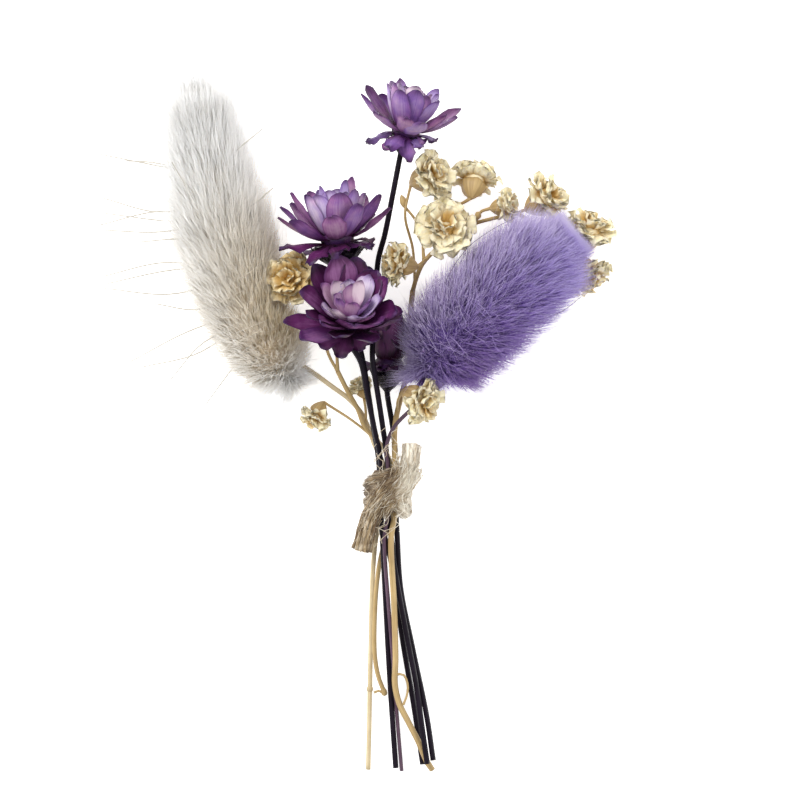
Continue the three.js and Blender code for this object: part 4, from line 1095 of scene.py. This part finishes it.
def soft_finish(name, softness, blue, **constants):
    """A dull finish that light goes a little way into, blue light least."""
    return Finish(
        name, specular_ior_level=0.2, subsurface_weight=softness, subsurface_scale=SOFT_DEPTH,
        subsurface_radius=(1.0, 0.9, blue), **constants,
    )


def fur_finish(name, root, middle, tip, shade, shade_end, pale, shaded_side, softness):
    """Fur: root to tip colours, painted shade near the base that is deepest on the side away from the light
    (partly the fur's own tint there), a painted highlight on the side towards the light, lighter towards the
    far end (partly painted light, partly the fur's own colour), and a tint for each hair.
    """
    finish = soft_finish(name, softness, 0.8, roughness=0.7)
    share, reach, draw = finish.split("grain")
    sockets = {0: finish.attribute("mark"), 1: shaded_side}
    side = finish.node("ShaderNodeVectorMath", {"operation": "DOT_PRODUCT"}, sockets, output="Value")
    side = finish.step(side, -0.9, 0.9)
    body = finish.ramp(reach, [(0.0, root), (0.45, middle), (1.0, tip)])
    # Painted shade: near the base and deepest on the side away from the light; the shade colour also holds the
    # base's own tint.
    low = (side * 0.4 + 0.6) * finish.step(share, 0.0, 0.16) * (1 - finish.step(share, 0.18, shade_end))
    shaded = finish.mix(low, body, shade, "MULTIPLY")
    # Painted highlight: the pale colour on the side towards the light, strongest towards the hair tips.
    shaded = finish.mix((1 - side) ** 2 * reach * 0.7, shaded, pale)
    tint = finish.step(draw, 0.1, 0.9)
    # Lighter towards the far end: partly painted light, partly the fur's own colour.
    lighter = finish.mix(tint * 0.22 + finish.step(share, 0.55, 1.0) * 0.35, shaded, tip)
    drift = finish.noise(finish.place(), 260.0)
    return finish.finished(finish.mix(finish.step(drift, 0.45, 0.75) * 0.16, lighter, root))


# The dyes of the bracts, from dark to pale, bluer and pinker
DYE_STOPS = (0.0, 0.3, 0.55, 0.8, 1.0)
BLUE_DYES = (
    (0.012, 0.002, 0.02), (0.07, 0.02, 0.13), (0.22, 0.12, 0.38), (0.45, 0.34, 0.6), (0.74, 0.67, 0.82),
)
PINK_DYES = (
    (0.018, 0.001, 0.014), (0.11, 0.017, 0.1), (0.32, 0.13, 0.31), (0.56, 0.35, 0.5), (0.8, 0.66, 0.72),
)
RIM_DYE, ROOT_DYE = (0.05, 0.01, 0.085), (0.08, 0.008, 0.035)


def bract_finish(name):
    """Dyed papery bract: dark or pale by its tone, pinker or bluer by its hue, dark rims and root,
    and fine lengthwise veins."""
    finish = Finish(name, specular_ior_level=0.35)
    across, reach, _ = finish.split("grain")
    tone, pink, draw = finish.split("mark")
    away = across * across
    veins = finish.noise((across * 9, reach * 1.3, draw * 40), 1.0, 4.0)
    clouds = finish.noise(finish.place(), 420.0)
    paler = finish.step(reach, 0.1, 0.65) * 0.22 - finish.step(reach, 0.72, 1.0) * 0.2
    lit = tone + paler + (clouds - 0.5) * 0.35 + (veins - 0.5) * 0.3 - away * 0.14
    bluish, pinkish = (finish.ramp(lit, list(zip(DYE_STOPS, dyes))) for dyes in (BLUE_DYES, PINK_DYES))
    body = finish.mix(finish.step(pink + (clouds - 0.5) * 0.6, 0.25, 0.75), bluish, pinkish)
    rim = finish.step(away, 0.7, 1.0) * finish.step(reach, 0.25, 0.8)
    edge = rim.maths("MAXIMUM", rim * 0.55, finish.step(reach, 0.86, 1.0) * 0.75)
    root = (1 - finish.step(reach, 0.02, 0.3)) * 0.75
    colour = finish.mix(root, finish.mix(edge, body, RIM_DYE), ROOT_DYE)
    return finish.finished(colour, 0.36 + veins * 0.22, veins, 0.00012, 0.8)


def stem_finish(name, dark, light, roughness, streaks=3.0, gloss=0.4):
    """Dry stem: lengthwise streaks round it, and slow drifts of colour along it."""
    finish = Finish(name, specular_ior_level=gloss)
    x, y, reach = finish.split("grain")
    tone, _, _ = finish.split("mark")
    streak = finish.noise((x * streaks, y * streaks, reach * 0.12), 1.0, 4.0)
    drift = finish.noise(finish.place(), 190.0)
    shade = finish.step(streak * 0.55 + drift * 0.35 + tone * 0.2, 0.32, 0.72)
    return finish.finished(finish.mix(shade, dark, light), roughness + streak * 0.2, streak, 0.00015, 0.7)


def floret_finish(cream, shade, heart):
    """Dried cream petal: brown towards its root, creased, with painted shade in its creases and a few khaki
    clouds.
    """
    finish = soft_finish("cream_petal_finish", 0.4, 0.7)
    across, reach, _ = finish.split("grain")
    tone, _, draw = finish.split("mark")
    creases = finish.noise((across * 5, reach * 3, draw * 30), 1.0, 5.0, 0.65)
    clouds = finish.noise(finish.place(), 380.0)
    depth = finish.step(reach * 0.7 + tone * 0.6 + (clouds - 0.5) * 0.6, 0.36, 0.95)
    # Painted shade: the crease colour mixed in where the crease noise is high.
    colour = finish.mix(finish.step(creases, 0.5, 0.72) * 0.4, finish.mix(depth, heart, cream), shade)
    return finish.finished(colour, 0.62 + creases * 0.2, creases, 0.0003, 0.9)


BLEACHED_X = (0.006, 0.0095)  # metres: the right side of the tie is paler


def jute_finish(dark, body, pale):
    """Jute: fibres of mixed straw colours; its darkest tone, which random draws and noise give to some fibres,
    is partly painted shade down in the strand and partly darker fibres.
    """
    finish = Finish("jute_finish", roughness=0.85, sheen_weight=0.3)
    draw, _, _ = finish.split("mark")
    fine = finish.noise(finish.place(), 900.0, 4.0)
    drift = finish.noise(finish.place(), 170.0)
    value = draw * 0.62 + fine * 0.45 + (drift - 0.5) * 0.5
    bleached = finish.step(finish.node("ShaderNodeSeparateXYZ", None, {0: finish.place()}), *BLEACHED_X)
    # The first stop is partly painted shade between the strands.
    colour = finish.ramp(value + bleached * 0.42 - 0.13, [(0.26, dark), (0.52, body), (0.88, pale)])
    return finish.finished(colour, None, fine, 0.0002, 0.8)


# Settings

COLOURS = {
    "cream_root": ((0.8, 0.72, 0.6), "White tail: fur near its root"),
    "cream_body": ((0.95, 0.93, 0.89), "White tail: fur in its middle"),
    "cream_tip": ((0.99, 0.985, 0.97), "White tail: fur at its tips"),
    # khaki: painted shade of the white tail near its base, on the side away from the light, partly its own
    # khaki tint.
    "khaki": ((0.78, 0.6, 0.3), "White tail: tint of the shaded side"),
    "awn": ((0.58, 0.54, 0.47), "Long awns of the white tail"),
    "violet_root": ((0.09, 0.03, 0.26), "Violet tail: fur near its root"),
    "violet_body": ((0.24, 0.13, 0.56), "Violet tail: fur in its middle"),
    "violet_tip": ((0.56, 0.47, 0.84), "Violet tail: fur at its tips"),
    # violet_pale: painted highlight on the violet tail's side towards the light.
    "violet_pale": ((0.78, 0.7, 0.82), "Violet tail: fur of its paler side"),
    # plum_shade: painted shade of the violet tail near its base, on the side away from the light, partly its
    # own plum tint.
    "plum_shade": ((0.62, 0.43, 0.64), "Violet tail: tint of the shaded side"),
    "dark_hair": ((0.08, 0.06, 0.12), "A few dark hairs of the violet tail"),
    "black_stem": ((0.002, 0.001, 0.003), "Dyed stems and calyxes"),
    "black_light": ((0.012, 0.007, 0.016), "Paler streaks on dyed stems"),
    "tan_stem": ((0.56, 0.4, 0.18), "Stems of the baby's breath"),
    "tan_dark": ((0.28, 0.18, 0.07), "Darker streaks on tan stems"),
    "pale_straw": ((0.72, 0.61, 0.4), "Straw of the white tail"),
    "pale_straw_dark": ((0.42, 0.31, 0.15), "Darker streaks on the pale straw"),
    "purple_straw": ((0.13, 0.07, 0.11), "Straw of the violet tail"),
    "purple_straw_dark": ((0.03, 0.012, 0.03), "Darker streaks on the purple straw"),
    "cream_petal": ((0.94, 0.84, 0.58), "Petals of the baby's breath"),
    # petal_crease: painted shade in the creases of the cream petals.
    "petal_crease": ((0.8, 0.6, 0.28), "Creases of the cream petals"),
    "petal_root": ((0.58, 0.36, 0.11), "Golden brown heart of a floret"),
    "jute": ((0.4, 0.29, 0.16), "Twine"),
    # jute_dark: darker fibres, and partly painted shade down between the fibres.
    "jute_dark": ((0.1, 0.055, 0.02), "Twine, down between its fibres"),
    "jute_pale": ((0.88, 0.83, 0.71), "Twine, bleached fibres"),
    "floor": ((0.93, 0.93, 0.93), "The plain floor"),
}
LENGTHS = {
    "bract_thickness": (0.00016, "Thickness of a papery bract in its middle"),
    "hair_radius": (0.00005, "Radius of a fur hair at its root"),
    "fibre_radius": (0.00007, "Radius of a jute fibre"),
}
COUNTS = {
    "white_hairs": (18000, "Hairs in each half of the white tail"),
    "violet_hairs": (14500, "Hairs in each half of the violet tail"),
}


def settings(kind, table, **facts):
    """One property of a kind for each entry of a table of defaults and descriptions."""
    return {
        key: kind(name=key.replace("_", " ").capitalize(), description=text, default=value, **facts)
        for key, (value, text) in table.items()
    }


class BUNCH_PG_sizes(bpy.types.PropertyGroup):
    __annotations__ = {
        **settings(
            FloatProperty, LENGTHS, min=0.00002, max=0.0006, precision=5, subtype="DISTANCE", unit="LENGTH"
        ),
        **settings(IntProperty, COUNTS, min=100, max=19000),
    }


class BUNCH_PG_colours(bpy.types.PropertyGroup):
    __annotations__ = settings(FloatVectorProperty, COLOURS, subtype="COLOR", size=3, min=0, max=1)


# Operators


class Step:
    """What the operators share: each builds with the scene's colours and sizes."""

    def execute(self, context):
        self.build(context.scene, context.scene.bunch_colours, context.scene.bunch_sizes)
        return {"FINISHED"}


class BUNCH_OT_daisies(Step, bpy.types.Operator):
    """Makes the four everlasting daisies with their stems"""

    bl_idname = "bunch.daisies"
    bl_label = "Everlasting daisies"

    def build(self, scene, tint, size):
        thick = size.bract_thickness / MM
        black = stem_finish("black_stem_finish", tint.black_stem, tint.black_light, 0.24, 4.0, 0.12)
        outer, inner = bract_finish("outer_bract_finish"), bract_finish("inner_bract_finish")
        for number, (flower, rooms) in enumerate(zip(DAISIES, daisy_rooms()), 1):
            name = f"daisy_{number}"
            stem = stem_and_calyx(flower, thick)
            make_piece(f"{name}_stem", stem, black, "black_stem", f"{name}_stem_and_calyx")
            rows = [waist(flower), *bract_rows(flower, flower.outer, -0.7, 1.7, rooms, thick, 0)]
            make_piece(f"{name}_outer", rows, outer, "outer_bract", f"{name}_outer_bracts")
            rows = bract_rows(flower, flower.inner, 1.4, 1.3, rooms, thick, 40)
            make_piece(f"{name}_inner", rows, inner, "inner_bract", f"{name}_inner_bracts")
            make_piece(f"{name}_disc", disc(flower), outer, "outer_bract")


def dress_tail(name, tail, look, count, hair):
    """A tail's fur in two halves, and its core with long and curly hairs."""
    slot, node = f"{name}_fur", f"{name}_tail_head"
    for k, (low, high) in enumerate([(0.0, tail.cut), (tail.cut, 1.0)]):
        half = fur(tail, count, tail.seed + k, hair, low, high)
        make_piece(f"{slot}_{k + 1}", [half], look, slot, node)
    long_count, long_seed, full_low, full_high = tail.long_hairs
    curl_count, curl_seed, thicker, end = tail.curls
    extras = [
        fur_core(tail),
        fur(tail, long_count, long_seed, 0.8 * hair, 0.0, 0.9, full_low, full_high, 24),
        curly_hairs(tail, curl_count, curl_seed, thicker * hair, 0.0, end),
    ]
    make_piece(f"{name}_core", extras, look, slot, node)


class BUNCH_OT_white_tail(Step, bpy.types.Operator):
    """Makes the white bunny tail: core, fur in two halves and long awns"""

    bl_idname = "bunch.white_tail"
    bl_label = "White bunny tail"

    def build(self, scene, tint, size):
        hair = size.hair_radius / MM
        # The white tail's painted highlight is its tip colour, and its painted shade is khaki.
        look = fur_finish(
            "white_fur_finish", tint.cream_root, tint.cream_body, tint.cream_tip, tint.khaki, 0.68,
            tint.cream_tip, (0.9, 0.43, 0.0), 0.6,
        )
        dress_tail("white", WHITE_TAIL, look, size.white_hairs, hair)
        look = stem_finish("awn_finish", tint.awn, tint.awn, 0.6)
        make_piece("white_awns", awns(WHITE_TAIL, WHITE_AWNS, 3.6 * hair), look, "white_fur")


class BUNCH_OT_violet_tail(Step, bpy.types.Operator):
    """Makes the violet bunny tail: core, fur in two halves and pale curly hairs"""

    bl_idname = "bunch.violet_tail"
    bl_label = "Violet bunny tail"

    def build(self, scene, tint, size):
        hair = size.hair_radius / MM
        look = fur_finish(
            "violet_fur_finish", tint.violet_root, tint.violet_body, tint.violet_tip, tint.plum_shade, 0.7,
            tint.violet_pale, (0.66, -0.75, 0.0), 0.15,
        )
        dress_tail("violet", VIOLET_TAIL, look, size.violet_hairs, hair)
        dark = stem_finish("dark_hair_finish", tint.dark_hair, tint.dark_hair, 0.5)
        arcs = [tube(arc, hair, 4, 1.2) for arc in VIOLET_ARCS]
        make_piece("violet_dark_hairs", arcs, dark, "violet_fur")


class BUNCH_OT_straws(Step, bpy.types.Operator):
    """Makes the two straws of the bunny tails"""

    bl_idname = "bunch.straws"
    bl_label = "Straws"

    def build(self, scene, tint, size):
        pale = stem_finish("pale_straw_finish", tint.pale_straw_dark, tint.pale_straw, 0.45)
        purple = stem_finish("purple_straw_finish", tint.purple_straw_dark, tint.purple_straw, 0.4)
        collar = [(-0.45, 0.42), (-0.2, 0.6), (0.25, 0.58), (0.5, 0.42)]
        ring = turned(collar, np.array(WHITE_STRAW_ROUTE[2]), ALONG, 14, 8, tone=0.1)
        white = tube(WHITE_STRAW_ROUTE, WHITE_STRAW_RADIUS, 10, 0.9, flutes=4, flute=0.05)
        make_piece("white_straw", [white, ring], pale, "pale_straw", "white_tail_straw")
        violet = tube(VIOLET_STRAW_ROUTE, VIOLET_STRAW_RADIUS, 10, 0.9, flutes=4, flute=0.05)
        make_piece("violet_straw", [violet], purple, "purple_straw", "violet_tail_straw")


class BUNCH_OT_sprays(Step, bpy.types.Operator):
    """Makes the stems, twigs, buds and calyxes of the two sprays"""

    bl_idname = "bunch.sprays"
    bl_label = "Baby's breath sprays"

    def build(self, scene, tint, size):
        look = stem_finish("tan_stem_finish", tint.tan_dark, tint.tan_stem, 0.42)
        make_piece("right_spray", right_spray(), look, "tan_stem", "right_spray_stems")
        make_piece("left_spray", left_spray(), look, "tan_stem", "left_spray_stems")


class BUNCH_OT_florets(Step, bpy.types.Operator):
    """Makes the crumpled double florets"""

    bl_idname = "bunch.florets"
    bl_label = "Florets"

    def build(self, scene, tint, size):
        thick = size.bract_thickness / MM
        look = floret_finish(tint.cream_petal, tint.petal_crease, tint.petal_root)
        for key, (name, floret) in enumerate(FLORETS.items()):
            make_piece(f"{name}_petals", bloom(floret, key, thick), look, "cream_petal", name)


class BUNCH_OT_twine(Step, bpy.types.Operator):
    """Makes the jute tie with its fibres"""

    bl_idname = "bunch.twine"
    bl_label = "Twine tie"

    def build(self, scene, tint, size):
        look = jute_finish(tint.jute_dark, tint.jute, tint.jute_pale)
        make_piece("twine", tie(size.fibre_radius / MM), look, "jute", "twine_tie")


WHITE = (1, 1, 1, 1)
FLOOR_SIDE, FLOOR_Z, FLOOR_GLOW, SKY_STRENGTH = 4.0, -0.0001, 0.65, 0.86
LIGHTS = [("key", (-0.55, 0.6, 0.9), 0.6, 10.5), ("fill", (0.9, 0.1, 0.8), 1.0, 3.0)]
VIEW_X, VIEW_Y, CAMERA_HEIGHT, VIEW_PLANE, VIEW_WIDTH, SENSOR = 0.0081, 0.0047, 0.75, 0.009, 0.144, 36.0


class BUNCH_OT_stage(Step, bpy.types.Operator):
    """Makes the floor, the soft light and the camera that looks down on the bunch"""

    bl_idname = "bunch.stage"
    bl_label = "Stage"

    def build(self, scene, tint, size):
        mesh = bpy.data.meshes.new("floor")
        half = FLOOR_SIDE / 2
        corners = [(x * half, y * half, FLOOR_Z) for x, y in ((-1, -1), (1, -1), (1, 1), (-1, 1))]
        mesh.from_pydata(corners, [], [(0, 1, 2, 3)])
        floor = bpy.data.objects.new("floor", mesh)
        scene.collection.objects.link(floor)
        look = Finish("floor_finish", roughness=0.9, emission_color=WHITE, emission_strength=FLOOR_GLOW)
        mesh.materials.append(look.finished(tint.floor))
        scene.world = bpy.data.worlds.new("sky")
        scene.world.use_nodes = True
        sky = scene.world.node_tree.nodes["Background"]
        sky.inputs["Color"].default_value = WHITE
        sky.inputs["Strength"].default_value = SKY_STRENGTH
        for name, place, side, power in LIGHTS:
            lamp = bpy.data.lights.new(name, "AREA")
            lamp.size, lamp.energy = side, power
            light = bpy.data.objects.new(name, lamp)
            light.location = place
            light.rotation_euler = look_along(-np.array(place))
            scene.collection.objects.link(light)
        lens = bpy.data.cameras.new("camera")
        lens.sensor_width = SENSOR
        lens.lens = SENSOR * (CAMERA_HEIGHT - VIEW_PLANE) / VIEW_WIDTH
        scene.camera = bpy.data.objects.new("camera", lens)
        scene.camera.location = (VIEW_X, VIEW_Y, CAMERA_HEIGHT)
        scene.collection.objects.link(scene.camera)
        scene.view_settings.view_transform = "Standard"


def look_along(aim):
    """Euler angles that turn a light's own -Z to the aim."""
    aim = unit(aim)
    tilt = math.acos(-aim[2])
    return (tilt, 0.0, math.atan2(-aim[0], aim[1]) if tilt > 1e-6 else 0.0)


OPERATORS = (
    BUNCH_OT_daisies,
    BUNCH_OT_white_tail,
    BUNCH_OT_violet_tail,
    BUNCH_OT_straws,
    BUNCH_OT_sprays,
    BUNCH_OT_florets,
    BUNCH_OT_twine,
    BUNCH_OT_stage,
)


class BUNCH_PT_panel(bpy.types.Panel):
    """The steps that dress the bunch"""

    bl_label = "Dried flower bunch"
    bl_idname = "BUNCH_PT_panel"
    bl_space_type = "VIEW_3D"
    bl_region_type = "UI"
    bl_category = "Flowers"

    def draw(self, context):
        for operator in OPERATORS:
            self.layout.operator(operator.bl_idname)
        for group in (context.scene.bunch_sizes, context.scene.bunch_colours):
            for name in group.__annotations__:
                self.layout.prop(group, name)


CLASSES = (BUNCH_PG_sizes, BUNCH_PG_colours, *OPERATORS, BUNCH_PT_panel)


def register():
    for kind in CLASSES:
        bpy.utils.register_class(kind)
    bpy.types.Scene.bunch_sizes = PointerProperty(type=BUNCH_PG_sizes)
    bpy.types.Scene.bunch_colours = PointerProperty(type=BUNCH_PG_colours)


def unregister():
    del bpy.types.Scene.bunch_colours
    del bpy.types.Scene.bunch_sizes
    for kind in reversed(CLASSES):
        bpy.utils.unregister_class(kind)


def main():
    register()
    for operator in OPERATORS:
        group, name = operator.bl_idname.split(".")
        getattr(getattr(bpy.ops, group), name)()


if __name__ == "__main__":
    main()
